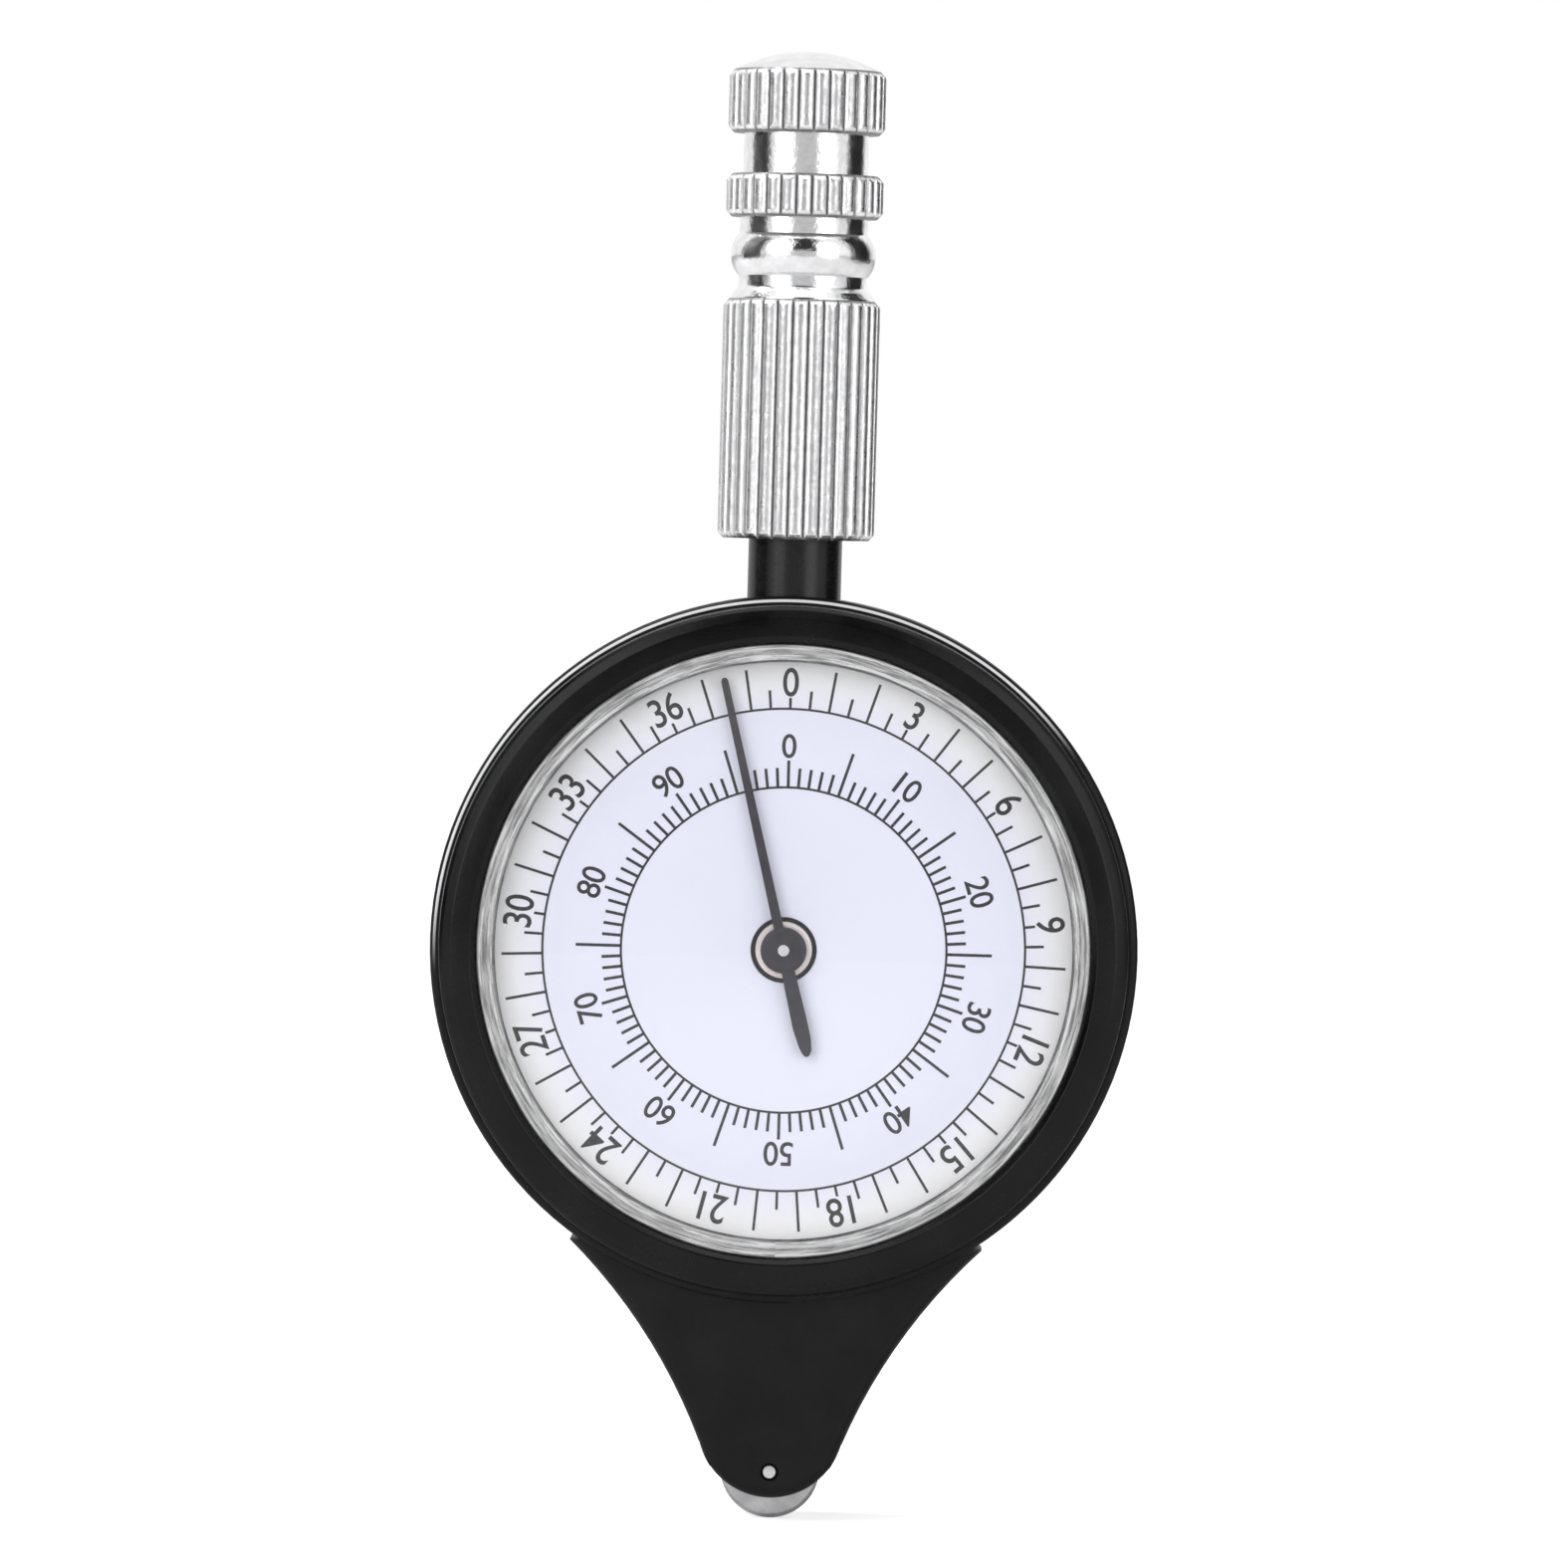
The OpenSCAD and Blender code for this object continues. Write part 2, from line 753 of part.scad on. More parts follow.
// Nickel-plated wheel that rolls on the map, chamfered at both edges.
module tracing_wheel() {
    bevel = 0.25;
    color([0.68, 0.69, 0.7])
    face_on()
    translate([0, axle_y, 0])
    rotate_extrude()
    polygon([
        [axle_r + eps, -wheel_w / 2], [wheel_r - bevel, -wheel_w / 2],
        [wheel_r, bevel - wheel_w / 2], [wheel_r, wheel_w / 2 - bevel],
        [wheel_r - bevel, wheel_w / 2], [axle_r + eps, wheel_w / 2]
    ]);
}

// Steel pin that turns in both cheeks of the leg; its bright front end shows.
module wheel_axle() {
    color([0.82, 0.82, 0.83])
    face_on()
    translate([0, axle_y, 0])
    disc(axle_r, axle_back, leg_front - 0.08);
}

// Two thin washers that centre the wheel and its pinion between the cheeks.
module axle_washers() {
    washer_r = axle_r + 0.6;
    color([0.85, 0.8, 0.6])
    face_on()
    translate([0, axle_y, 0]) {
        ring(washer_r, axle_r + eps, wheel_w / 2 + 0.05, pocket_front - 0.06);
        ring(washer_r, axle_r + eps, pocket_back + 0.04, layer_b - pinion_t / 2 - 0.02);
    }
}

// ---- movement plate --------------------------------------------------------------------

// Brass plate that holds the front pivots: a disc on four posts with a strap down the leg.
module movement_plate() {
    color([0.82, 0.68, 0.36])
    face_on()
    difference() {
        translate([0, 0, plate_back])
            linear_extrude(height = plate_t)
                union() {
                    circle(r = plate_r);
                    translate([-strap_half, first_y])
                        square([2 * strap_half, -first_y]);
                    translate([0, first_y])
                        circle(r = strap_half);
                }
        disc(bush_r + eps, 0, case_front);
        for (y = [third_y, second_y, first_y])
            translate([0, y, 0])
                disc(pivot_r + run_gap, 0, case_front);
        on_ring(post_ring_r, post_angles)
            disc(screw_r + 0.1, 0, case_front);
    }
}

// Four screws with low heads that hold the movement plate on its posts.
module plate_screws() {
    color([0.75, 0.75, 0.77])
    face_on()
    on_ring(post_ring_r, post_angles)
    union() {
        disc(screw_head_r, plate_front, dial_back - 0.1);
        disc(pilot_r - eps, plate_back - screw_l, plate_front);
    }
}

// ---- stem and handle -------------------------------------------------------------------

// Stands up what is drawn on the axis of the handle, with z = 0 at the given height over the
// centre of the dial.
module on_handle_axis(height) {
    translate([0, 0, dial_z + height])
        children();
}

// Black flanged stem, clamped between the halves of the case.
module stem() {
    color([0.12, 0.12, 0.13])
    on_handle_axis(stem_bottom)
    difference() {
        union() {
            cylinder(r = stem_flange_r, h = stem_flange_t);
            cylinder(r = stem_r, h = stem_top - stem_bottom);
        }
        translate([0, 0, stem_top - stem_bottom - stud_down - 0.2])
            cylinder(r = stud_r + eps, h = stud_down + 1);
    }
}

// Steel stud that is screwed into the stem and into the handle.
module handle_stud() {
    color([0.7, 0.7, 0.72])
    on_handle_axis(stem_top - stud_down)
    cylinder(r = stud_r, h = stud_down + stud_up);
}

// Chromed handle, turned from one knurled bar: sleeve, bead, two bands and a domed end.
module handle() {
    color([0.83, 0.84, 0.86])
    on_handle_axis(stem_top)
    difference() {
        union() {
            knurled_band(0, sleeve_l);
            knurled_band(band_foot, lower_band_l);
            knurled_band(upper_foot, upper_band_l);
            rotate_extrude()
                handle_core();
        }
        translate([0, 0, -1])
            cylinder(r = stud_r + eps, h = stud_up + 1.2);
    }
}

// A band of straight knurling with chamfered ends, on the handle's axis.
module knurled_band(foot, length) {
    step = 360 / knurl_teeth;
    intersection() {
        translate([0, 0, foot])
            linear_extrude(height = length)
                polygon([
                    for (i = [0 : knurl_teeth - 1], k = [0 : 3])
                        let (
                            r = knurl_r - [knurl_depth, 0.06, 0, 0.06][k],
                            a = (i + [0, 0.32, 0.5, 0.68][k]) * step
                        )
                        [r * cos(a), r * sin(a)]
                ]);
        rotate_extrude()
            polygon([
                [0, foot], [knurl_r - knurl_end, foot], [knurl_r, foot + knurl_end],
                [knurl_r, foot + length - knurl_end], [knurl_r - knurl_end, foot + length],
                [0, foot + length]
            ]);
    }
}

// Half section of the plain parts of the handle.
module handle_core() {
    sink = 0.5;
    bead_arc_r = (bead_l * bead_l / 4 + pow(bead_r - bead_neck_r, 2)) / (2 * (bead_r - bead_neck_r));
    // shoulder above the sleeve, with the neck over it
    polygon([
        [0, sleeve_l - sink], [knurl_r - knurl_end, sleeve_l - sink],
        [knurl_r - knurl_end, sleeve_l], [bead_neck_r + 0.3, sleeve_l + 0.6 * cone_l],
        [bead_neck_r, sleeve_l + cone_l],
        [bead_neck_r, bead_foot + eps], [0, bead_foot + eps]
    ]);
    // bead
    intersection() {
        translate([bead_r - bead_arc_r, bead_foot + bead_l / 2])
            circle(r = bead_arc_r);
        translate([0, bead_foot])
            square([bead_r, bead_l]);
    }
    // neck under the lower band, neck between the bands, and the root of the dome
    translate([0, bead_foot + bead_l - eps])
        square([bead_neck_r, upper_neck_l + sink]);
    translate([0, neck_foot - sink])
        square([neck_r, neck_l + 2 * sink]);
    // domed end
    intersection() {
        translate([0, dome_foot + dome_h - dome_ball_r])
            circle(r = dome_ball_r);
        translate([0, dome_foot - 0.2])
            square([dome_r, dome_h + 1]);
    }
}

// ---- the parts ---------------------------------------------------------------------------

rear_case();
front_case();
case_screws();
bezel_ring();
crystal();
dial();
pointer();
pointer_arbor();
centre_bush();
thrust_washer();
centre_gear();
third_pinion();
third_gear();
second_pinion();
second_gear();
first_pinion();
first_gear();
wheel_pinion();
tracing_wheel();
wheel_axle();
axle_washers();
movement_plate();
plate_screws();
stem();
handle_stud();
handle();
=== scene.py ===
import math
import json

import bmesh
import bpy
from mathutils import Matrix, Vector


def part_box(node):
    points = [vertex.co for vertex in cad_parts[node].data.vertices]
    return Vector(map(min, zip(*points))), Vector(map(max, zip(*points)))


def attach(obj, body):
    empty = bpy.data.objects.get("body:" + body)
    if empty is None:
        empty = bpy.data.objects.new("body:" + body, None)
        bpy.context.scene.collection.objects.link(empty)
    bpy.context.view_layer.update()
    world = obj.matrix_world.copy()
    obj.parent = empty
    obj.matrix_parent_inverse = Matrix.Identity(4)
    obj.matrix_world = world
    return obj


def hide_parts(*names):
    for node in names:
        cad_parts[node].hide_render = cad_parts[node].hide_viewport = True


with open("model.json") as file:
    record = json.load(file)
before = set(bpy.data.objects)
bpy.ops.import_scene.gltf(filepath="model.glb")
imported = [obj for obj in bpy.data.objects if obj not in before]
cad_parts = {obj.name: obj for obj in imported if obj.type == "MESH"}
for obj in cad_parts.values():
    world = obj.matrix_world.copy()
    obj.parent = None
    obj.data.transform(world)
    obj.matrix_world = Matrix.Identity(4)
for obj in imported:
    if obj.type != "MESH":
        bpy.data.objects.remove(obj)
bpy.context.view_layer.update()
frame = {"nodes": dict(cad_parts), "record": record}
nodes = frame["nodes"]
record = frame["record"]

# ---- Table, studio and camera ---------------------------------------------------------------
# The measurer stands on its tracing wheel on a white table in a white room. Two soft boxes light
# it from the front, one from above, and a thin lamp from behind picks out its upper left rim,
# where the case also carries a painted highlight.
# Cards that only mirrors see give the plating its bands: grey ahead, dark at the sides and above.

MM = 0.001
PHOTO_PIXELS = 1575
MM_PER_PIXEL = 0.0706          # in the upright plane through the handle's axis
CAMERA_DISTANCE = 740 * MM
CAMERA_HEIGHT = 72.6 * MM
CAMERA_RIGHT = 8.6 * MM
AIM_HEIGHT = 52.1 * MM         # height of the photograph's centre on the handle's axis plane
AIM_LEFT = 0.34 * MM
CAMERA_ROLL = 1.58             # degrees that the object leans to the right in the photograph
SENSOR_W = 36
ROOM_LIGHT = 0.40              # how brightly the white room lights the object
TABLE_GLOW = 0.58              # lifts the lit table to the white of the room, for the camera only

scene = bpy.context.scene
scene.view_settings.view_transform = "Standard"

camera_data = bpy.data.cameras.new("camera")
camera_data.sensor_width = SENSOR_W
camera_data.lens = SENSOR_W * CAMERA_DISTANCE / (PHOTO_PIXELS * MM_PER_PIXEL * MM)
camera_data.clip_start = 0.01
camera_data.clip_end = 20
camera = bpy.data.objects.new("camera", camera_data)
scene.collection.objects.link(camera)
scene.camera = camera
aim = Vector((-AIM_LEFT, 0, AIM_HEIGHT))
camera.location = aim + Vector((CAMERA_RIGHT, -CAMERA_DISTANCE, CAMERA_HEIGHT - AIM_HEIGHT))
looking = (aim - camera.location).to_track_quat("-Z", "Y")
roll = Matrix.Rotation(math.radians(CAMERA_ROLL), 4, "Z")
camera.rotation_euler = (looking.to_matrix().to_4x4() @ roll).to_euler()


def soft_box(name, place, width, height, power):
    """A rectangular lamp that faces the middle of the object."""
    lamp = bpy.data.lights.new(name, "AREA")
    lamp.shape = "RECTANGLE"
    lamp.size = width
    lamp.size_y = height
    lamp.energy = power
    stand = bpy.data.objects.new(name, lamp)
    scene.collection.objects.link(stand)
    stand.location = place
    stand.rotation_euler = (aim - Vector(place)).to_track_quat("-Z", "Y").to_euler()
    return stand


soft_box("soft_box_left", (-0.50, -0.62, 0.42), 0.50, 0.80, 2.46)
soft_box("soft_box_right", (0.52, -0.60, 0.30), 0.45, 0.80, 1.87)
soft_box("soft_box_top", (0.0, -0.12, 0.85), 0.70, 0.40, 1.28)
rim_light = soft_box("rim_light", (-0.52, 0.14, 0.58), 0.06, 1.1, 3.6)
across = (aim - rim_light.location).normalized().cross(Vector((0, 1, 0)))
toward = (aim - rim_light.location).normalized()
rim_light.rotation_euler = Matrix((toward.cross(across), across, -toward)).transposed().to_euler()


def math_node(tree, operation, first, second=None):
    """A Math node fed by sockets or numbers; gives its output."""
    node = tree.nodes.new("ShaderNodeMath")
    node.operation = operation
    for socket, value in ((0, first), (1, second)):
        if isinstance(value, (int, float)):
            node.inputs[socket].default_value = value
        elif value is not None:
            tree.links.new(value, node.inputs[socket])
    return node.outputs[0]


def spread(tree, value, bottom, top, start=0.0, end=1.0):
    """Turns a value between start and end, as of a 0 to 1 mask, into one from bottom to top."""
    node = tree.nodes.new("ShaderNodeMapRange")
    node.inputs["From Min"].default_value = start
    node.inputs["From Max"].default_value = end
    node.inputs["To Min"].default_value = bottom
    node.inputs["To Max"].default_value = top
    tree.links.new(value, node.inputs["Value"])
    return node.outputs["Result"]


world = bpy.data.worlds.new("white_room")
scene.world = world
world.use_nodes = True
tree = world.node_tree
tree.nodes.clear()
rays = tree.nodes.new("ShaderNodeLightPath")
seen = math_node(tree, "MAXIMUM", rays.outputs["Is Camera Ray"], rays.outputs["Is Glossy Ray"])
seen_through = math_node(tree, "MAXIMUM", seen, rays.outputs["Is Transmission Ray"])
room = tree.nodes.new("ShaderNodeBackground")
room.inputs["Color"].default_value = (1, 1, 1, 1)
tree.links.new(spread(tree, seen_through, ROOM_LIGHT, 1.0), room.inputs["Strength"])
world_out = tree.nodes.new("ShaderNodeOutputWorld")
tree.links.new(room.outputs[0], world_out.inputs["Surface"])


def flat_card(name, corners):
    """A flat sheet through four corners, in metres."""
    mesh = bpy.data.meshes.new(name)
    mesh.from_pydata([Vector(c) for c in corners], [], [(0, 1, 2, 3)])
    card = bpy.data.objects.new(name, mesh)
    scene.collection.objects.link(card)
    return card


table = flat_card("table", [(-3, -2, 0), (3, -2, 0), (3, 6, 0), (-3, 6, 0)])
paint = bpy.data.materials.new("white_table")
paint.use_nodes = True
tree = paint.node_tree
bsdf = tree.nodes["Principled BSDF"]
bsdf.inputs["Base Color"].default_value = (0.93, 0.93, 0.93, 1)
bsdf.inputs["Roughness"].default_value = 0.9
rays = tree.nodes.new("ShaderNodeLightPath")
bsdf.inputs["Emission Color"].default_value = (1, 1, 1, 1)
tree.links.new(math_node(tree, "MULTIPLY", rays.outputs["Is Camera Ray"], TABLE_GLOW),
               bsdf.inputs["Emission Strength"])
table.data.materials.append(paint)


def reflected_card(name, level, corners):
    """A card that only mirrors see, which glows at an even level."""
    card = flat_card(name, corners)
    card.visible_camera = False
    card.visible_diffuse = False
    card.visible_shadow = False
    card.visible_transmission = False
    material = bpy.data.materials.new(name)
    material.use_nodes = True
    surface = material.node_tree.nodes["Principled BSDF"]
    surface.inputs["Base Color"].default_value = (0, 0, 0, 1)
    surface.inputs["Specular IOR Level"].default_value = 0
    surface.inputs["Emission Color"].default_value = (1, 1, 1, 1)
    surface.inputs["Emission Strength"].default_value = level
    card.data.materials.append(material)


def standing(start, end, height):
    """Corners of an upright sheet between two points of the floor plan."""
    return [(*start, 0), (*end, 0), (*end, height), (*start, height)]


reflected_card("card_left", 0.03, standing((-0.42, -0.16), (-0.42, 0.18), 0.6))
reflected_card("card_right", 0.02, standing((0.42, -0.04), (0.42, 0.42), 0.6))
reflected_card("grey_card", 0.6, standing((-0.76, -0.9), (0.66, -0.9), 0.9))
reflected_card("dark_ceiling", 0.03,
               [(-0.32, -0.85, 0.32), (0.38, -0.85, 0.32), (0.38, -0.6, 1.3), (-0.32, -0.6, 1.3)])

# ---- Tracing wheel, its axle, pinion and washers --------------------------------------------
# A nickel-plated steel wheel, turned, with a bright chamfer; it is pressed on a steel axle whose
# polished end shows in the foot of the leg, ringed by painted shade. The pinion beside it is cut
# from steel rod.

joint_height = {j["name"]: j["pos_m"][2] for j in record["behaviour"]["joints"]}
DIAL_Z = joint_height["pointer_spin"]


def softened(corners, steps=5):
    """Outline through (r, z, fillet) corners, in mm, with each corner rounded by its fillet."""
    outline = []
    count = len(corners)
    for i, (r, z, fillet) in enumerate(corners):
        here = Vector((r, z))
        if fillet <= 0:
            outline.append(here)
            continue
        to_last = (Vector(corners[i - 1][:2]) - here).normalized()
        to_next = (Vector(corners[(i + 1) % count][:2]) - here).normalized()
        half = math.acos(max(-1, min(1, to_last.dot(to_next)))) / 2
        reach = fillet / math.tan(half)
        middle = here + (to_last + to_next).normalized() * (fillet / math.sin(half))
        start = here + to_last * reach - middle
        sweep = start.angle_signed(here + to_next * reach - middle)
        for k in range(steps + 1):
            turned_start = start.copy()
            turned_start.rotate(Matrix.Rotation(-sweep * k / steps, 2))
            outline.append(middle + turned_start)
    return outline


TO_METRES = Matrix.Diagonal((MM, MM, MM, 1))


def on_handle(height):
    """Place on the handle's axis, with z along the handle from a height in metres."""
    return Matrix.Translation((0, 0, height))


def face_on(height=DIAL_Z):
    """Place seen face on: x to the right, y up and z towards the reader, about a height."""
    return Matrix.Translation((0, 0, height)) @ Matrix.Rotation(math.radians(90), 4, "X")


def seen_size(node):
    """Radius of a round CAD node as the dial's side shows it, its front and its back, in mm."""
    low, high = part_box(node)
    return (high.x - low.x) / 2 / MM, -low.y / MM, -high.y / MM


def add_piece(name, mesh, body, materials, *stands_for):
    """Makes a mesh into a piece that rides on a body and stands for CAD nodes."""
    piece = bpy.data.objects.new(name, mesh)
    scene.collection.objects.link(piece)
    for material in materials:
        mesh.materials.append(material)
    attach(piece, body)
    if stands_for:
        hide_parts(*stands_for)
    return piece


def finish_mesh(name, bm, place, crease=35):
    """Closes a bmesh in mm into a mesh in metres at its place, smooth but for its sharp edges."""
    bmesh.ops.remove_doubles(bm, verts=bm.verts, dist=0.0005)
    bmesh.ops.recalc_face_normals(bm, faces=bm.faces)
    mesh = bpy.data.meshes.new(name)
    bm.to_mesh(mesh)
    bm.free()
    mesh.transform(place @ TO_METRES)
    mesh.shade_smooth()
    mesh.set_sharp_from_angle(angle=math.radians(crease))
    return mesh


def turned(name, outline, place, steps=128, crease=35):
    """A body of revolution about z from a closed outline of (r, z) points in mm."""
    bm = bmesh.new()
    rings = []
    for r, z in outline:
        if r < 1e-6:
            rings.append([bm.verts.new((0, 0, z))])
        else:
            rings.append([bm.verts.new((r * math.cos(a), r * math.sin(a), z))
                          for a in (2 * math.pi * k / steps for k in range(steps))])
    for low, high in zip(rings, rings[1:] + rings[:1]):
        for k in range(steps):
            corners = [low[k % len(low)], low[(k + 1) % len(low)],
                       high[(k + 1) % len(high)], high[k % len(high)]]
            distinct = list(dict.fromkeys(corners))
            if len(distinct) > 2:
                bm.faces.new(distinct)
    return finish_mesh(name, bm, place, crease)


def new_group(name, inputs, output, output_kind, tree_kind="ShaderNodeTree"):
    """A node group with one output and inputs of a label and kind; gives it and its two ends."""
    group = bpy.data.node_groups.new(name, tree_kind)
    for label, kind in inputs:
        group.interface.new_socket(label, in_out="INPUT", socket_type=kind)
    group.interface.new_socket(output, in_out="OUTPUT", socket_type=output_kind)
    return group, group.nodes.new("NodeGroupInput"), group.nodes.new("NodeGroupOutput")


def split_axes(tree, vector):
    """The X, Y and Z outputs of a vector."""
    node = tree.nodes.new("ShaderNodeSeparateXYZ")
    tree.links.new(vector, node.inputs[0])
    return node.outputs


def join_axes(tree, **axes):
    """A vector with a value on each axis that is named, and 0 on the others."""
    node = tree.nodes.new("ShaderNodeCombineXYZ")
    for axis, value in axes.items():
        tree.links.new(value, node.inputs[axis])
    return node.outputs[0]


def noise(tree, place, detail, roughness=0.5):
    """Soft noise with features of about one unit of the place; gives its 0 to 1 output."""
    node = tree.nodes.new("ShaderNodeTexNoise")
    node.inputs["Scale"].default_value = 1.0
    node.inputs["Detail"].default_value = detail
    node.inputs["Roughness"].default_value = roughness
    tree.links.new(place, node.inputs["Vector"])
    return node.outputs["Fac"]


FLOAT = "NodeSocketFloat"
VECTOR = "NodeSocketVector"

# Lathe marks: fine rings around the axis that Place is centred on, z along that axis.
lathe_marks, start, end = new_group(
    "lathe_marks", [("Place", VECTOR), ("Rings per metre", FLOAT)], "Mask", FLOAT)
axes = split_axes(lathe_marks, start.outputs["Place"])
radius = lathe_marks.nodes.new("ShaderNodeVectorMath")
radius.operation = "LENGTH"
lathe_marks.links.new(join_axes(lathe_marks, X=axes["X"], Y=axes["Y"]), radius.inputs[0])
along = join_axes(lathe_marks, X=radius.outputs["Value"], Y=axes["Z"])
stretch = lathe_marks.nodes.new("ShaderNodeVectorMath")
stretch.operation = "SCALE"
lathe_marks.links.new(along, stretch.inputs[0])
lathe_marks.links.new(start.outputs["Rings per metre"], stretch.inputs["Scale"])
lathe_marks.links.new(noise(lathe_marks, stretch.outputs[0], 3.0), end.inputs["Mask"])

# Blotches: soft uneven spots, as handling and plating leave them.
blotches, start, end = new_group(
    "blotches", [("Place", VECTOR), ("Spots per metre", FLOAT), ("Spread", FLOAT)], "Mask", FLOAT)
cloud = blotches.nodes.new("ShaderNodeTexNoise")
cloud.inputs["Detail"].default_value = 4.0
cloud.inputs["Roughness"].default_value = 0.6
blotches.links.new(start.outputs["Place"], cloud.inputs["Vector"])
blotches.links.new(start.outputs["Spots per metre"], cloud.inputs["Scale"])
spots = blotches.nodes.new("ShaderNodeMapRange")
spots.interpolation_type = "SMOOTHSTEP"
blotches.links.new(cloud.outputs["Fac"], spots.inputs["Value"])
blotches.links.new(math_node(blotches, "SUBTRACT", 0.5, start.outputs["Spread"]), spots.inputs["From Min"])
blotches.links.new(math_node(blotches, "ADD", 0.5, start.outputs["Spread"]), spots.inputs["From Max"])
blotches.links.new(spots.outputs["Result"], end.inputs["Mask"])


def place_group(tree, group, centre=None, tip=0.0, **values):
    """Mask of a group in a material, reading Object coordinates about a centre, tipped about x."""
    box = tree.nodes.new("ShaderNodeGroup")
    box.node_tree = group
    for label, value in values.items():
        box.inputs[label.replace("_", " ")].default_value = value
    where = tree.nodes.new("ShaderNodeTexCoord")
    mapping = tree.nodes.new("ShaderNodeMapping")
    mapping.vector_type = "TEXTURE"
    mapping.inputs["Location"].default_value = centre or (0, 0, 0)
    mapping.inputs["Rotation"].default_value = (tip, 0, 0)
    tree.links.new(where.outputs["Object"], mapping.inputs["Vector"])
    tree.links.new(mapping.outputs[0], box.inputs["Place"])
    return box.outputs["Mask"]


def blend_colours(tree, mask, first, second):
    """Mixes two colours, each a plain one or a socket, by a mask."""
    node = tree.nodes.new("ShaderNodeMix")
    node.data_type = "RGBA"
    for label, colour in (("A", first), ("B", second)):
        if isinstance(colour, tuple):
            node.inputs[label].default_value = (*colour, 1)
        else:
            tree.links.new(colour, node.inputs[label])
    tree.links.new(mask, node.inputs["Factor"])
    return node.outputs["Result"]


def bump(tree, mask, depth):
    """Feeds a mask into the surface's normal as relief of a depth in metres."""
    node = tree.nodes.new("ShaderNodeBump")
    node.inputs["Strength"].default_value = 1.0
    node.inputs["Distance"].default_value = depth
    tree.links.new(mask, node.inputs["Height"])
    tree.links.new(node.outputs["Normal"], tree.nodes["Principled BSDF"].inputs["Normal"])


def new_material(name, metallic=0.0):
    """A material with an empty Principled surface; gives it, its tree and the surface."""
    material = bpy.data.materials.new(name)
    material.use_nodes = True
    bsdf = material.node_tree.nodes["Principled BSDF"]
    bsdf.inputs["Metallic"].default_value = metallic
    return material, material.node_tree, bsdf


FACE_TIP = math.radians(90)


def turned_metal(name, light, dark, smooth, rough, groove, height=None):
    """Turned metal with fine rings about an axis across the dial at a height, or about the handle's."""
    centre = (0, 0, height or 0)
    tip = 0.0 if height is None else FACE_TIP
    material, tree, bsdf = new_material(name, 1.0)
    marks = place_group(tree, lathe_marks, centre, tip, Rings_per_metre=9000.0)
    haze = place_group(tree, blotches, centre, tip, Spots_per_metre=700.0, Spread=0.22)
    tree.links.new(blend_colours(tree, haze, light, dark), bsdf.inputs["Base Color"])
    tree.links.new(spread(tree, marks, smooth, rough), bsdf.inputs["Roughness"])
    bump(tree, marks, groove)
    return material


WHEEL_Z = joint_height["wheel_spin"]
WHEEL_R, wheel_front, wheel_back = seen_size("tracing_wheel")
WHEEL_HALF = (wheel_front - wheel_back) / 2
AXLE_R, AXLE_FRONT, AXLE_BACK = seen_size("wheel_axle")
PRESSED_GAP = 0.01             # between the wheel's bore and its axle
HUB_R = WHEEL_R - 0.9          # raised face around the axle
HUB_STEP = 0.12
TREAD_CHAMFER = 0.4
EDGE_SHADE_W = 0.13                 # dark ring painted along the axle's rounded edge as the shade of the gap around it

wheel_steel = turned_metal("wheel_steel", (0.67, 0.67, 0.68), (0.48, 0.48, 0.49), 0.26, 0.42, 0.000004,
                           WHEEL_Z)
wheel_side = [
    (AXLE_R + PRESSED_GAP, -WHEEL_HALF, 0), (HUB_R, -WHEEL_HALF, 0), (HUB_R, HUB_STEP - WHEEL_HALF, 0),
    (WHEEL_R - 0.55, HUB_STEP - WHEEL_HALF, 0), (WHEEL_R - 0.25, HUB_STEP - WHEEL_HALF, 0.12),
    (WHEEL_R, TREAD_CHAMFER - WHEEL_HALF, 0.2)]
wheel_outline = softened(wheel_side + [(r, -z, fillet) for r, z, fillet in reversed(wheel_side)])
wheel = add_piece("tracing_wheel_turned", turned("tracing_wheel_turned", wheel_outline, face_on(WHEEL_Z)),
                  "wheel_set", [wheel_steel], "tracing_wheel")

pin_steel = turned_metal("pin_steel", (0.72, 0.72, 0.73), (0.55, 0.55, 0.57), 0.2, 0.35, 0.000003, WHEEL_Z)
axle_outline = softened([(0, AXLE_BACK, 0), (AXLE_R, AXLE_BACK, 0.12), (AXLE_R, AXLE_FRONT, 0.14),
                         (0, AXLE_FRONT, 0)])
painted_shade_edge, tree, bsdf = new_material("painted_shade_edge", 1.0)
bsdf.inputs["Base Color"].default_value = (0.05, 0.05, 0.05, 1)
bsdf.inputs["Roughness"].default_value = 0.5
axle_mesh = turned("wheel_axle_turned", axle_outline, face_on(WHEEL_Z), 48)
# Painted shade: the rounded edge of the axle's end is dark, as the gap around it would be.
for face in axle_mesh.polygons:
    if math.hypot(face.center.x, face.center.z - WHEEL_Z) > (AXLE_R - EDGE_SHADE_W) * MM:
        face.material_index = 1
axle = add_piece("wheel_axle_turned", axle_mesh, "wheel_set", [pin_steel, painted_shade_edge], "wheel_axle")


def repaint(node, material):
    """Gives a CAD node a material in each of its slots."""
    slots = nodes[node].data.materials
    if not slots:
        slots.append(material)
    for i in range(len(slots)):
        slots[i] = material


repaint("wheel_pinion", turned_metal("pinion_steel", (0.72, 0.73, 0.75), (0.55, 0.56, 0.58),
                                     0.22, 0.4, 0.000003, WHEEL_Z))
repaint("axle_washers", turned_metal("washer_brass", (0.80, 0.63, 0.33), (0.62, 0.47, 0.22),
                                     0.25, 0.45, 0.000003, WHEEL_Z))

# ---- Gear train and arbors ------------------------------------------------------------------
# Brass gears stamped from strip and pressed on steel arbors, with a thin film of old oil. They
# run in four layers behind the dial, each pair slowing the train down to the pointer.

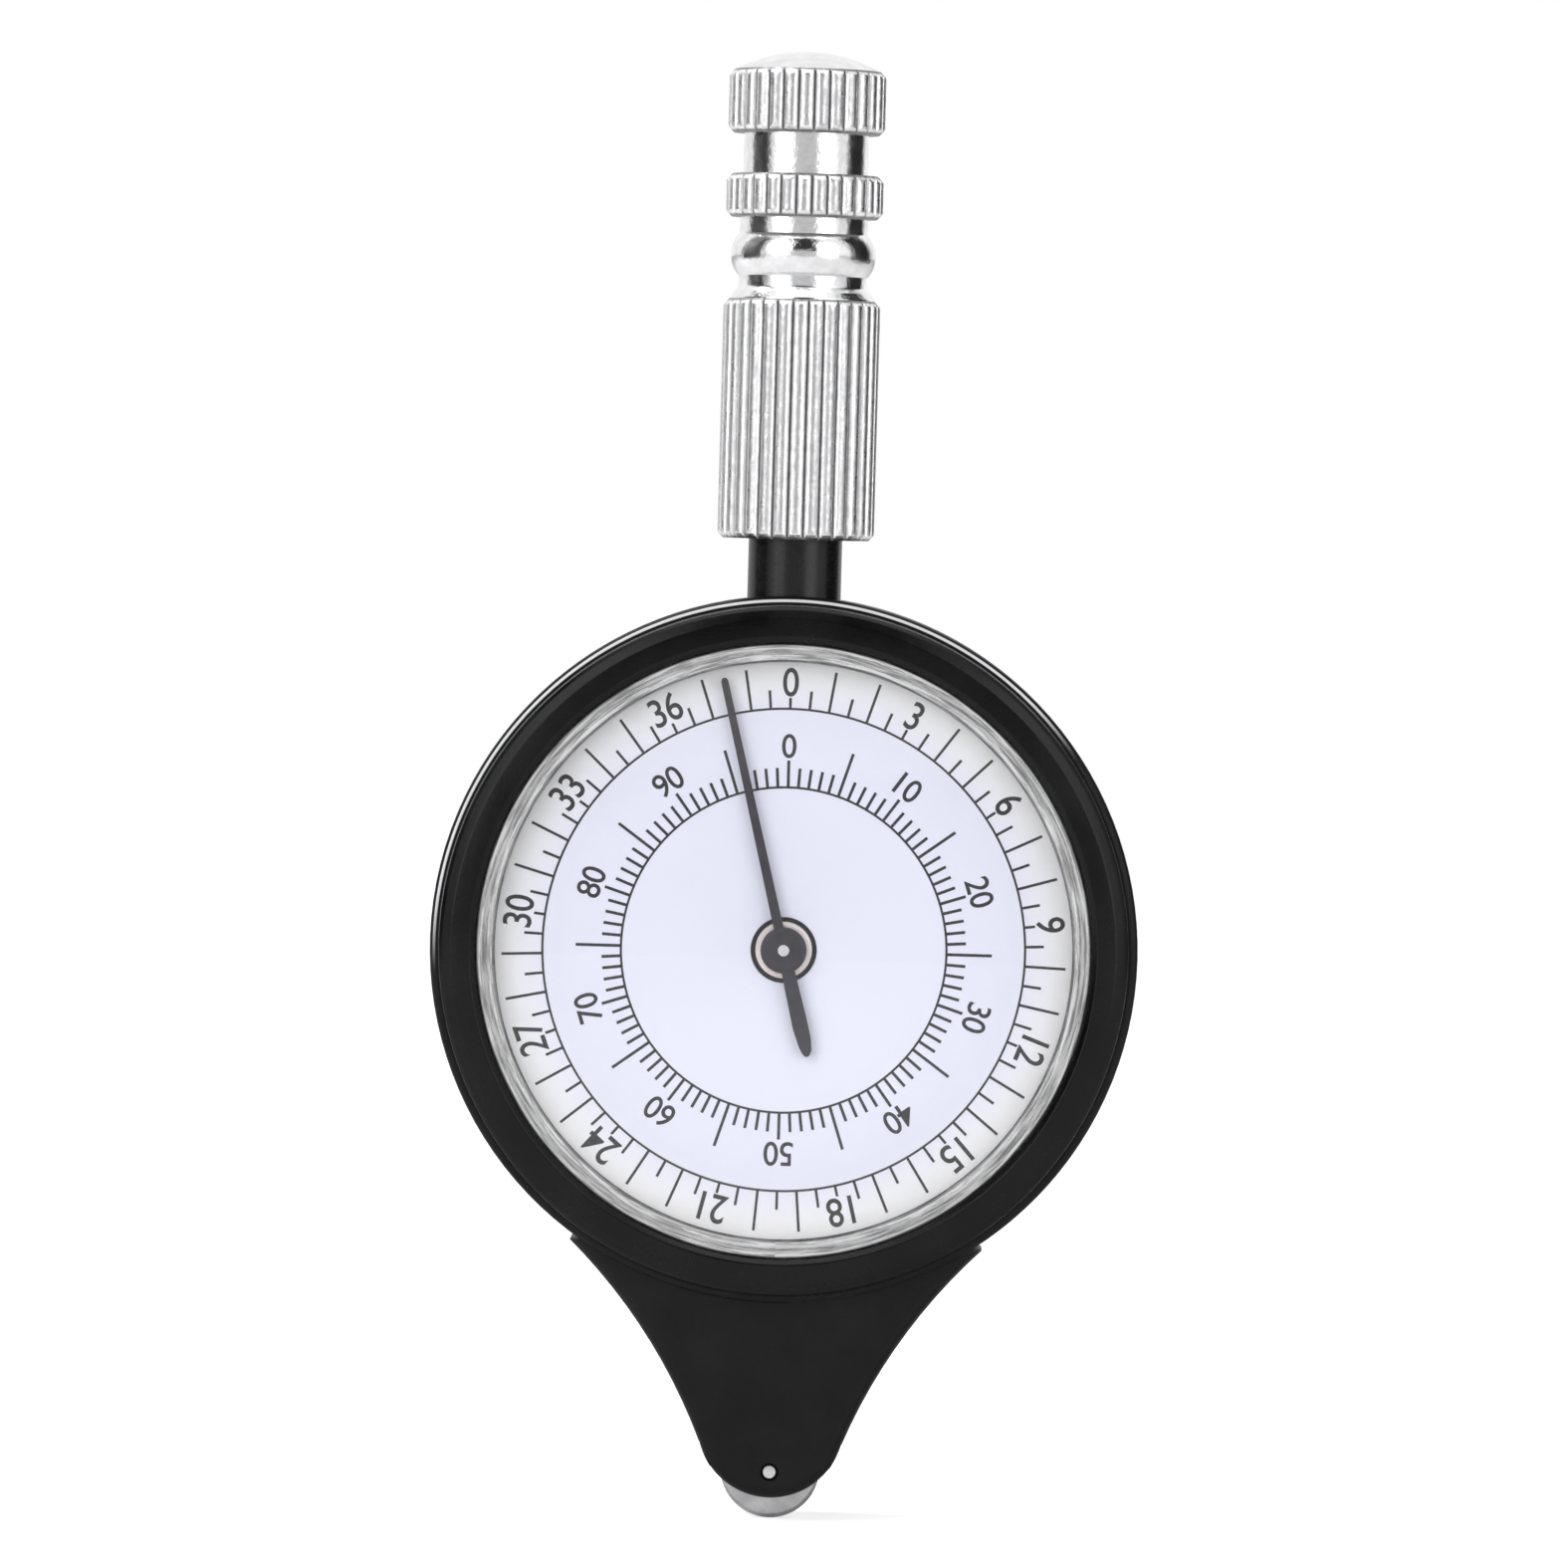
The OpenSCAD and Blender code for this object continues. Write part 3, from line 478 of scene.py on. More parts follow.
for gear, joint in (("first_gear", "first_spin"), ("second_gear", "second_spin"),
                    ("third_gear", "third_spin"), ("centre_gear", "pointer_spin")):
    repaint(gear, turned_metal("brass_of_" + gear, (0.83, 0.65, 0.33), (0.66, 0.49, 0.22),
                               0.24, 0.44, 0.000004, joint_height[joint]))
for arbor, joint in (("first_pinion", "first_spin"), ("second_pinion", "second_spin"),
                     ("third_pinion", "third_spin"), ("pointer_arbor", "pointer_spin")):
    repaint(arbor, turned_metal("steel_of_" + arbor, (0.78, 0.79, 0.80), (0.60, 0.61, 0.63),
                                0.18, 0.36, 0.000003, joint_height[joint]))

# ---- Movement plate, its screws, bush and washer --------------------------------------------
# A stamped brass plate with straight graining, held on four posts, with painted shade around the bush.
# The pinkish bush guides the pointer's arbor and shows as a ring in the hole of the dial.


def axis_radius(tree, centre, across):
    """Distance from an axis through a centre, and the coordinates across it that give it."""
    where = tree.nodes.new("ShaderNodeTexCoord")
    centred = tree.nodes.new("ShaderNodeMapping")
    centred.vector_type = "TEXTURE"
    centred.inputs["Location"].default_value = centre
    tree.links.new(where.outputs["Object"], centred.inputs["Vector"])
    flat = tree.nodes.new("ShaderNodeVectorMath")
    flat.operation = "MULTIPLY"
    flat.inputs[1].default_value = across
    tree.links.new(centred.outputs[0], flat.inputs[0])
    radius = tree.nodes.new("ShaderNodeVectorMath")
    radius.operation = "LENGTH"
    tree.links.new(flat.outputs[0], radius.inputs[0])
    return radius.outputs["Value"], flat.outputs[0]


def dial_radius(tree):
    """Distance from the dial's axis, and the coordinates about its centre."""
    return axis_radius(tree, (0, 0, DIAL_Z), (1, 0, 1))


def zone(tree, value, start, end):
    """A smooth 0 to 1 step where a value passes from start to end."""
    node = tree.nodes.new("ShaderNodeMapRange")
    node.interpolation_type = "SMOOTHSTEP"
    node.inputs["From Min"].default_value = start
    node.inputs["From Max"].default_value = end
    tree.links.new(value, node.inputs["Value"])
    return node.outputs["Result"]


GRAIN_PER_METRE = (9000, 9000, 250)
PAINTED_SHADE_R = 3.0                # painted shade darkens the plate inside this radius
plate_brass, tree, bsdf = new_material("grained_brass", 1.0)
where = tree.nodes.new("ShaderNodeTexCoord")
stretch = tree.nodes.new("ShaderNodeMapping")
stretch.inputs["Scale"].default_value = GRAIN_PER_METRE
tree.links.new(where.outputs["Object"], stretch.inputs["Vector"])
grain = noise(tree, stretch.outputs[0], 2.0)
brass = blend_colours(tree, grain, (0.82, 0.66, 0.34), (0.64, 0.49, 0.23))
radius, flat = dial_radius(tree)
outside_painted_shade = zone(tree, radius, PAINTED_SHADE_R * MM, (PAINTED_SHADE_R + 0.2) * MM)
# Painted shade: the plate is near black around the bush, as the shade under the dial's hole.
tree.links.new(blend_colours(tree, outside_painted_shade, (0.02, 0.02, 0.02), brass), bsdf.inputs["Base Color"])
tree.links.new(spread(tree, grain, 0.26, 0.5), bsdf.inputs["Roughness"])
bump(tree, grain, 0.000004)
repaint("movement_plate", plate_brass)
repaint("centre_bush", turned_metal("bush_brass", (0.90, 0.84, 0.83), (0.74, 0.66, 0.65),
                                    0.3, 0.5, 0.000004, DIAL_Z))


def spotted(name, light, dark, smooth, rough, haze, metallic=0.0, specular=0.5, relief=0.0, grain=None):
    """A surface whose tone and gloss vary in soft spots, and its relief in those or finer ones.

    The haze and the grain are each given as their spots per metre and the spread of their edges.
    """
    material, tree, bsdf = new_material(name, metallic)
    spots = place_group(tree, blotches, Spots_per_metre=haze[0], Spread=haze[1])
    tree.links.new(blend_colours(tree, spots, light, dark), bsdf.inputs["Base Color"])
    tree.links.new(spread(tree, spots, smooth, rough), bsdf.inputs["Roughness"])
    bsdf.inputs["Specular IOR Level"].default_value = specular
    if grain:
        spots = place_group(tree, blotches, Spots_per_metre=grain[0], Spread=grain[1])
    if relief:
        bump(tree, spots, relief)
    return material


repaint("thrust_washer", spotted("white_nylon", (0.82, 0.82, 0.79), (0.76, 0.76, 0.72), 0.4, 0.55,
                                 (900.0, 0.3)))
screw_steel = spotted("screw_steel", (0.74, 0.75, 0.77), (0.52, 0.53, 0.55), 0.22, 0.45,
                      (1200.0, 0.25), metallic=1.0, relief=0.000006)
repaint("plate_screws", screw_steel)
repaint("case_screws", screw_steel)

# ---- Dial -----------------------------------------------------------------------------------
# A thin aluminium plate, sprayed white and printed in dark grey: an outer scale of 39 divisions
# with halves and an inner scale of 100, in numbers that read outwards.

DIAL_R, DIAL_FRONT, DIAL_BACK = seen_size("dial")
DIAL_HOLE_R = 2.33
DIAL_EDGE = 0.06               # fillet of the punched edges
TINTED_R = 16                  # the paint looks bluish inside this radius
WHITE_AND_PAINTED_LIGHT_R = 20.5                 # and white outside this one, partly painted light against the bezel's shade

dial_paint, tree, bsdf = new_material("dial_white_paint")
radius, flat = dial_radius(tree)
# Partly painted light: the dial's outer ring is full white, partly its own paint tone and partly a lift
# against the bezel's shade.
white_ring_and_painted_light = zone(tree, radius, TINTED_R * MM, WHITE_AND_PAINTED_LIGHT_R * MM)
tree.links.new(blend_colours(tree, white_ring_and_painted_light, (0.80, 0.81, 0.93), (1.0, 1.0, 1.0)),
               bsdf.inputs["Base Color"])
haze = place_group(tree, blotches, Spots_per_metre=2500.0, Spread=0.3)
tree.links.new(spread(tree, haze, 0.42, 0.55), bsdf.inputs["Roughness"])
bump(tree, haze, 0.000002)

dial_outline = softened([
    (DIAL_HOLE_R, DIAL_BACK, DIAL_EDGE), (DIAL_R, DIAL_BACK, DIAL_EDGE),
    (DIAL_R, DIAL_FRONT, DIAL_EDGE), (DIAL_HOLE_R, DIAL_FRONT, DIAL_EDGE)], 3)
dial_mesh = turned("dial_plate", dial_outline, face_on(), 192)
dial = add_piece("dial_plate", dial_mesh, "case", [dial_paint], "dial")

INK_DEPTH = 0.012              # thickness of the printed ink film
ink = spotted("dial_ink", (0.010, 0.010, 0.012), (0.022, 0.022, 0.026), 0.5, 0.65, (3000.0, 0.3),
              specular=0.2)

# Tick marks of one scale: a bar on each point of a ring, with its length by its place in the
# scale. Marks under a number have one length, long marks another and the rest a third.
WHOLE = "NodeSocketInt"
MATERIAL = "NodeSocketMaterial"
SHAPE = "NodeSocketGeometry"
ticks, start, end = new_group(
    "scale_ticks",
    [("Count", WHOLE), ("Radius", FLOAT), ("Width", FLOAT), ("Depth", FLOAT), ("Numbered every", WHOLE),
     ("Long every", WHOLE), ("Long from", WHOLE), ("Numbered length", FLOAT), ("Long length", FLOAT),
     ("Short length", FLOAT), ("Ink", MATERIAL)],
    "Marks", SHAPE, "GeometryNodeTree")


def choose(tree, test, if_false, if_true):
    """A float Switch; gives its output."""
    node = tree.nodes.new("GeometryNodeSwitch")
    node.input_type = "FLOAT"
    tree.links.new(test, node.inputs["Switch"])
    tree.links.new(if_false, node.inputs["False"])
    tree.links.new(if_true, node.inputs["True"])
    return node.outputs["Output"]


def coat(tree, shape, material, output):
    """Ends a geometry tree: turns its instances into plain mesh in a material."""
    real = tree.nodes.new("GeometryNodeRealizeInstances")
    tree.links.new(shape, real.inputs["Geometry"])
    coated = tree.nodes.new("GeometryNodeSetMaterial")
    tree.links.new(real.outputs["Geometry"], coated.inputs["Geometry"])
    tree.links.new(material, coated.inputs["Material"])
    tree.links.new(coated.outputs["Geometry"], output)


circle = ticks.nodes.new("GeometryNodeMeshCircle")
ticks.links.new(start.outputs["Count"], circle.inputs["Vertices"])
ticks.links.new(start.outputs["Radius"], circle.inputs["Radius"])
index = ticks.nodes.new("GeometryNodeInputIndex").outputs[0]
in_number = math_node(ticks, "MODULO", index, start.outputs["Numbered every"])
numbered = math_node(ticks, "LESS_THAN", in_number, 0.5)
in_long = math_node(ticks, "MODULO", math_node(ticks, "ADD", index, start.outputs["Long from"]),
                    start.outputs["Long every"])
long_mark = math_node(ticks, "LESS_THAN", in_long, 0.5)
length = choose(ticks, long_mark, start.outputs["Short length"], start.outputs["Long length"])
length = choose(ticks, numbered, length, start.outputs["Numbered length"])
bar = ticks.nodes.new("GeometryNodeMeshCube")
raised = ticks.nodes.new("GeometryNodeTransform")
raised.inputs["Translation"].default_value = (0.5, 0, 0.5)
ticks.links.new(bar.outputs["Mesh"], raised.inputs["Geometry"])
turn = math_node(ticks, "DIVIDE", math_node(ticks, "MULTIPLY", index, 2 * math.pi), start.outputs["Count"])
bar_size = join_axes(ticks, X=length, Y=start.outputs["Width"], Z=start.outputs["Depth"])
spots = ticks.nodes.new("GeometryNodeInstanceOnPoints")
ticks.links.new(circle.outputs["Mesh"], spots.inputs["Points"])
ticks.links.new(raised.outputs["Geometry"], spots.inputs["Instance"])
ticks.links.new(join_axes(ticks, Z=turn), spots.inputs["Rotation"])
ticks.links.new(bar_size, spots.inputs["Scale"])
coat(ticks, spots.outputs["Instances"], start.outputs["Ink"], end.inputs["Marks"])


def grow(name, tree, values):
    """Runs a geometry tree with its inputs set and gives the plain mesh that it makes."""
    seed = bpy.data.objects.new(name, bpy.data.meshes.new(name + "_seed"))
    scene.collection.objects.link(seed)
    modifier = seed.modifiers.new("grow", "NODES")
    modifier.node_group = tree
    identifiers = {item.name: item.identifier for item in tree.interface.items_tree
                   if item.item_type == "SOCKET" and item.in_out == "INPUT"}
    for label, value in values.items():
        modifier[identifiers[label]] = value
    seed.update_tag()
    bpy.context.view_layer.update()
    depsgraph = bpy.context.evaluated_depsgraph_get()
    mesh = bpy.data.meshes.new_from_object(seed.evaluated_get(depsgraph))
    mesh.name = name
    seed.modifiers.remove(modifier)
    bpy.data.objects.remove(seed)
    return mesh


def print_scale(name, values):
    """Tick marks of one scale, turned so that the first stands over the dial's centre."""
    mesh = grow(name, ticks, {**values, "Depth": INK_DEPTH, "Ink": ink})
    mesh.transform(face_on() @ TO_METRES @ Matrix.Translation((0, 0, DIAL_FRONT))
                   @ Matrix.Rotation(math.radians(90), 4, "Z"))
    return mesh


OUTER_LINE_R = 17.05
INNER_LINE_R = 11.5
LINE_HALF = 0.08               # half the width of the two ring lines
OUTER_MARK_W = 0.19
INNER_MARK_W = 0.21
OUTER_DIVISIONS = 39
INNER_DIVISIONS = 100
outer_marks = print_scale("outer_marks", {
    "Count": 2 * OUTER_DIVISIONS, "Radius": OUTER_LINE_R, "Width": OUTER_MARK_W, "Numbered every": 6,
    "Long every": 2, "Long from": 0, "Numbered length": 0.78, "Long length": 2.9, "Short length": 1.32})
inner_marks = print_scale("inner_marks", {
    "Count": INNER_DIVISIONS, "Radius": INNER_LINE_R, "Width": INNER_MARK_W, "Numbered every": 10,
    "Long every": 10, "Long from": 5, "Numbered length": 1.9, "Long length": 3.2, "Short length": 1.38})

FIGURE_SWELL = 0.008           # thickens the strokes
OUTER_FIGURE = (2.05, 0.86, 18.93)   # height, share of the plain width, radius of the middle
INNER_FIGURE = (1.72, 0.94, 14.42)


def figure(text, angle, height, width_share, r):
    """A printed number with its top outwards, centred at radius r and an angle from the zero."""
    curve = bpy.data.curves.new("figure_" + text, "FONT")
    curve.body = text
    curve.extrude = INK_DEPTH / 2
    curve.offset = FIGURE_SWELL
    curve.resolution_u = 6
    curve.space_character = 0.96
    holder = bpy.data.objects.new("figure_" + text, curve)
    scene.collection.objects.link(holder)
    bpy.context.view_layer.update()
    depsgraph = bpy.context.evaluated_depsgraph_get()
    mesh = bpy.data.meshes.new_from_object(holder.evaluated_get(depsgraph))
    bpy.data.objects.remove(holder)
    xs = [v.co.x for v in mesh.vertices]
    ys = [v.co.y for v in mesh.vertices]
    grow_by = height / (max(ys) - min(ys))
    middle = Matrix.Translation((-(max(xs) + min(xs)) / 2, -(max(ys) + min(ys)) / 2, 0))
    size = Matrix.Diagonal((grow_by * width_share, grow_by, 1, 1))
    place = Matrix.Rotation(-math.radians(angle), 4, "Z") @ Matrix.Translation((0, r, 0))
    mesh.transform(face_on() @ TO_METRES @ Matrix.Translation((0, 0, DIAL_FRONT + INK_DEPTH / 2))
                   @ place @ size @ middle)
    return mesh


figures = [figure(str(n), 360 * n / OUTER_DIVISIONS, *OUTER_FIGURE) for n in range(0, OUTER_DIVISIONS, 3)]
figures += [figure(str(n), 360 * n / INNER_DIVISIONS, *INNER_FIGURE) for n in range(0, INNER_DIVISIONS, 10)]
INK_TOP = DIAL_FRONT + INK_DEPTH
base_lines = [
    turned("base_line", [(r - LINE_HALF, DIAL_FRONT), (r + LINE_HALF, DIAL_FRONT),
                         (r + LINE_HALF, INK_TOP), (r - LINE_HALF, INK_TOP)], face_on(), 192)
    for r in (OUTER_LINE_R, INNER_LINE_R)]
bm = bmesh.new()
for part in [outer_marks, inner_marks] + figures + base_lines:
    bm.from_mesh(part)
for face in bm.faces:
    face.material_index = 0
print_mesh = bpy.data.meshes.new("dial_print")
bm.to_mesh(print_mesh)
bm.free()
add_piece("dial_print", print_mesh, "case", [ink])

# ---- Pointer --------------------------------------------------------------------------------
# Stamped from thin steel and painted dark grey: a long tapered arm, a round boss pressed on the
# bright end of the arbor, and a broad tail that balances it.

POINTER_REST = 13.9            # degrees anticlockwise of the zero, as in the photograph
POINTER_FRONT, POINTER_BACK = seen_size("pointer")[1:]
ARM_BACK = POINTER_BACK + 0.2
ARM_T = 0.3
ARM_EDGE = 0.05                # rounding of the stamped edges
TIP_R = DIAL_R - 1.9
BOSS_R = 1.63
COLLAR_R = 0.75                # small raised collar around the arbor
COLLAR_H = 0.04
ARBOR_TIP_R = 0.41

pointer_paint = spotted("pointer_paint", (0.010, 0.009, 0.014), (0.028, 0.026, 0.036), 0.35, 0.5,
                        (1500.0, 0.25), specular=0.3, relief=0.00001)

arm_side = [(0.36, 0.0), (0.25, TIP_R - 0.25), (0.18, TIP_R - 0.08), (0.07, TIP_R)]
tail_side = [(0.46, -1.2), (0.5, -3.0), (0.56, -5.0), (0.56, -6.4), (0.42, -7.3), (0.22, -7.62),
             (0.05, -7.7)]
tail_other = [(-0.12, -7.66), (-0.28, -7.4), (-0.42, -6.8), (-0.54, -5.6), (-0.5, -3.0), (-0.46, -1.2)]
pointer_line = tail_other + [(-x, y) for x, y in arm_side] + arm_side[::-1] + tail_side
bm = bmesh.new()
bottom = [bm.verts.new((x, y, ARM_BACK)) for x, y in pointer_line]
top = [bm.verts.new((x, y, ARM_BACK + ARM_T)) for x, y in pointer_line]
bm.faces.new(top)
bm.faces.new(bottom[::-1])
for k in range(len(pointer_line)):
    j = (k + 1) % len(pointer_line)
    bm.faces.new((bottom[k], bottom[j], top[j], top[k]))
rim = [e for e in bm.edges if abs(e.verts[0].co.z - e.verts[1].co.z) < 1e-6]
bmesh.ops.bevel(bm, geom=rim, offset=ARM_EDGE, segments=2, affect="EDGES")
boss_outline = softened([
    (ARBOR_TIP_R, POINTER_BACK, 0), (BOSS_R, POINTER_BACK, 0.08), (BOSS_R, POINTER_FRONT - 0.12, 0.1),
    (BOSS_R - 0.3, POINTER_FRONT - COLLAR_H, 0.1), (COLLAR_R + 0.1, POINTER_FRONT - COLLAR_H, 0),
    (COLLAR_R, POINTER_FRONT, 0), (ARBOR_TIP_R, POINTER_FRONT, 0)])
boss_mesh = turned("boss", boss_outline, Matrix.Identity(4), 64)
boss_mesh.transform(TO_METRES.inverted())
bm.from_mesh(boss_mesh)
pointer_mesh = finish_mesh("pointer_stamped", bm,
                           face_on() @ Matrix.Rotation(math.radians(POINTER_REST), 4, "Z"), 30)
pointer = add_piece("pointer_stamped", pointer_mesh, "pointer_set", [pointer_paint], "pointer")

# ---- Case halves ----------------------------------------------------------------------------
# Moulded black plastic in two halves, joined by four screws from behind. Satin outside with a
# very fine spark grain and a little rubbed where hands hold it; a pale line along the upper rim
# is a painted highlight.

CASE_R = seen_size("rear_case")[0]
HIGHLIGHT_IN_R = CASE_R - 0.41      # the painted highlight, a pale line, lies between these radii
HIGHLIGHT_OUT_R = CASE_R - 0.22
HIGHLIGHT_BLUR = 0.03
HIGHLIGHT_START = 6                 # how far up and left of the dial's centre it starts
HIGHLIGHT_FULL = 12                 # and is at its full strength
case_plastic, tree, bsdf = new_material("case_plastic")
grain = place_group(tree, blotches, Spots_per_metre=5200.0, Spread=0.35)
rubbed = place_group(tree, blotches, Spots_per_metre=160.0, Spread=0.2)
black = blend_colours(tree, rubbed, (0.0065, 0.0065, 0.007), (0.0105, 0.0105, 0.011))
radius, flat = dial_radius(tree)
upper_left = tree.nodes.new("ShaderNodeVectorMath")
upper_left.operation = "DOT_PRODUCT"
upper_left.inputs[1].default_value = (-0.34, 0, 0.94)
tree.links.new(flat, upper_left.inputs[0])
highlight_from = zone(tree, radius, (HIGHLIGHT_IN_R - HIGHLIGHT_BLUR) * MM, (HIGHLIGHT_IN_R + HIGHLIGHT_BLUR) * MM)
highlight_until = zone(tree, radius, (HIGHLIGHT_OUT_R - HIGHLIGHT_BLUR) * MM, (HIGHLIGHT_OUT_R + HIGHLIGHT_BLUR) * MM)
highlight_ring = math_node(tree, "SUBTRACT", highlight_from, highlight_until)
place = tree.nodes.new("ShaderNodeTexCoord").outputs["Object"]
in_front = math_node(tree, "LESS_THAN", split_axes(tree, place)["Y"], 0.0)
front_highlight_ring = math_node(tree, "MULTIPLY", highlight_ring, in_front)
highlight_arc = zone(tree, upper_left.outputs["Value"], HIGHLIGHT_START * MM, HIGHLIGHT_FULL * MM)
painted_highlight = math_node(tree, "MULTIPLY", front_highlight_ring, highlight_arc)
# Painted highlight: a pale line on the front of the rim's upper left, where a lamp's reflection would
# shine.
tree.links.new(blend_colours(tree, painted_highlight, black, (0.8, 0.8, 0.82)), bsdf.inputs["Base Color"])
tree.links.new(spread(tree, rubbed, 0.30, 0.42), bsdf.inputs["Roughness"])
bsdf.inputs["Specular IOR Level"].default_value = 0.14
bump(tree, grain, 0.000006)
repaint("front_case", case_plastic)
repaint("rear_case", case_plastic)

# ---- Crystal --------------------------------------------------------------------------------
# A clear moulded acrylic window: a flat pane with a raised rim that the bezel holds. The rim
# is scuffed, and shows as bright rings around the dial, with painted shade as dark rings at its edges.

FLANGE_R, CRYSTAL_FRONT, CRYSTAL_BACK = seen_size("crystal")
BEZEL_R, BEZEL_FRONT = seen_size("bezel_ring")[:2]
BEZEL_IN_R = BEZEL_R - 2.7
PANE_R = BEZEL_IN_R - 0.06
RIM_R = PANE_R - 1.25          # the raised rim starts here
EVEN_R = RIM_R - 0.3           # the pane is dead flat inside this radius
PANE_FRONT = CRYSTAL_FRONT - 0.15
PANE_BACK = CRYSTAL_BACK + 0.2
FLANGE_FRONT = CRYSTAL_BACK + 0.7
ACRYLIC_IOR = 1.49
SCRATCHES_PER_RADIAN = 6.0
SCRATCHES_PER_METRE = 5000.0   # across the rim
RIM_TONES_AND_EDGE_SHADE = ((0.0, 0.25), (0.07, 0.3), (0.11, 0.86), (0.32, 0.86), (0.42, 0.6), (0.66, 0.62), (0.74, 0.88),
             (0.86, 0.8), (0.92, 0.12), (1.0, 0.08))   # place across the rim and tone of each ring; the dark ones at the edges are painted shade


def tone_ramp(tree, value, tones, blue):
    """Greys along a 0 to 1 value from (place, tone) pairs, with their blue a touch stronger."""
    ramp = tree.nodes.new("ShaderNodeValToRGB")
    while len(ramp.color_ramp.elements) < len(tones):
        ramp.color_ramp.elements.new(1.0)
    for element, (place, tone) in zip(ramp.color_ramp.elements, tones):
        element.position = place
        element.color = (tone, tone, tone * blue, 1)
    tree.links.new(value, ramp.inputs["Fac"])
    return ramp.outputs["Color"]


def multiply_colours(tree, first, second):
    """One colour dimmed by another."""
    mix = tree.nodes.new("ShaderNodeMix")
    mix.data_type = "RGBA"
    mix.blend_type = "MULTIPLY"
    mix.inputs["Factor"].default_value = 1.0
    tree.links.new(first, mix.inputs["A"])
    tree.links.new(second, mix.inputs["B"])
    return mix.outputs["Result"]


def let_lamps_through(tree):
    """Lets light from the lamps pass a clear piece, as thin clear plastic does."""
    rays = tree.nodes.new("ShaderNodeLightPath")
    open_way = tree.nodes.new("ShaderNodeBsdfTransparent")
    mixed = tree.nodes.new("ShaderNodeMixShader")
    tree.links.new(rays.outputs["Is Shadow Ray"], mixed.inputs["Fac"])
    tree.links.new(tree.nodes["Principled BSDF"].outputs[0], mixed.inputs[1])
    tree.links.new(open_way.outputs[0], mixed.inputs[2])
    tree.links.new(mixed.outputs[0], tree.nodes["Material Output"].inputs["Surface"])


acrylic, tree, bsdf = new_material("clear_acrylic")
bsdf.inputs["Base Color"].default_value = (0.99, 0.99, 1.0, 1)
bsdf.inputs["Transmission Weight"].default_value = 1.0
bsdf.inputs["IOR"].default_value = ACRYLIC_IOR
smear = place_group(tree, blotches, Spots_per_metre=120.0, Spread=0.2)
tree.links.new(spread(tree, smear, 0.0, 0.02), bsdf.inputs["Roughness"])
let_lamps_through(tree)

# Rim of the crystal: thin rings in its tone, the dark ones at its edges painted shade of the moulded steps,
# and wear has scratched it along them.
scuffed_acrylic, tree, bsdf = new_material("scuffed_acrylic")
radius, flat = dial_radius(tree)
axes = split_axes(tree, flat)
turn = math_node(tree, "ARCTAN2", axes["X"], axes["Z"])
polar = join_axes(tree, X=math_node(tree, "MULTIPLY", turn, SCRATCHES_PER_RADIAN),
                  Y=math_node(tree, "MULTIPLY", radius, SCRATCHES_PER_METRE))
scratches = noise(tree, polar, 4.0, 0.65)
across_rim = spread(tree, radius, 0.0, 1.0, RIM_R * MM, PANE_R * MM)
# Painted shade: the darkest rings at the rim's inner and outer edges stand for the shade of the moulded
# steps.
steps = tone_ramp(tree, across_rim, RIM_TONES_AND_EDGE_SHADE, 1.01)
wear = spread(tree, scratches, 0.3, 1.0, 0.36, 0.6)
tree.links.new(multiply_colours(tree, steps, wear), bsdf.inputs["Base Color"])
bsdf.inputs["Transmission Weight"].default_value = 0.25
bsdf.inputs["IOR"].default_value = ACRYLIC_IOR
tree.links.new(spread(tree, scratches, 0.15, 0.4), bsdf.inputs["Roughness"])
bump(tree, scratches, 0.000008)
let_lamps_through(tree)

crystal_outline = softened([
    (0, PANE_FRONT, 0), (EVEN_R, PANE_FRONT, 0), (RIM_R, PANE_FRONT, 0.1),
    (RIM_R + 0.2, CRYSTAL_FRONT, 0.08), (PANE_R, CRYSTAL_FRONT, 0.12), (PANE_R, FLANGE_FRONT, 0.05),
    (FLANGE_R, FLANGE_FRONT, 0.05), (FLANGE_R, CRYSTAL_BACK, 0.05), (RIM_R, CRYSTAL_BACK, 0.05),
    (RIM_R, PANE_BACK, 0.05), (EVEN_R, PANE_BACK, 0), (0, PANE_BACK, 0)], 4)
crystal_mesh = turned("crystal_moulded", crystal_outline, face_on(), 192)
crystal = add_piece("crystal_moulded", crystal_mesh, "case", [acrylic, scuffed_acrylic], "crystal")
centre = Vector((0, 0, DIAL_Z))
for face in crystal_mesh.polygons:
    offset = face.center - centre
    if math.hypot(offset.x, offset.z) / MM > RIM_R - 0.05:
        face.material_index = 1

# ---- Bezel ----------------------------------------------------------------------------------
# A black plastic snap ring with a rounded shoulder, pressed into a groove of the case over the
# crystal's flange. It is a little glossier than the case.

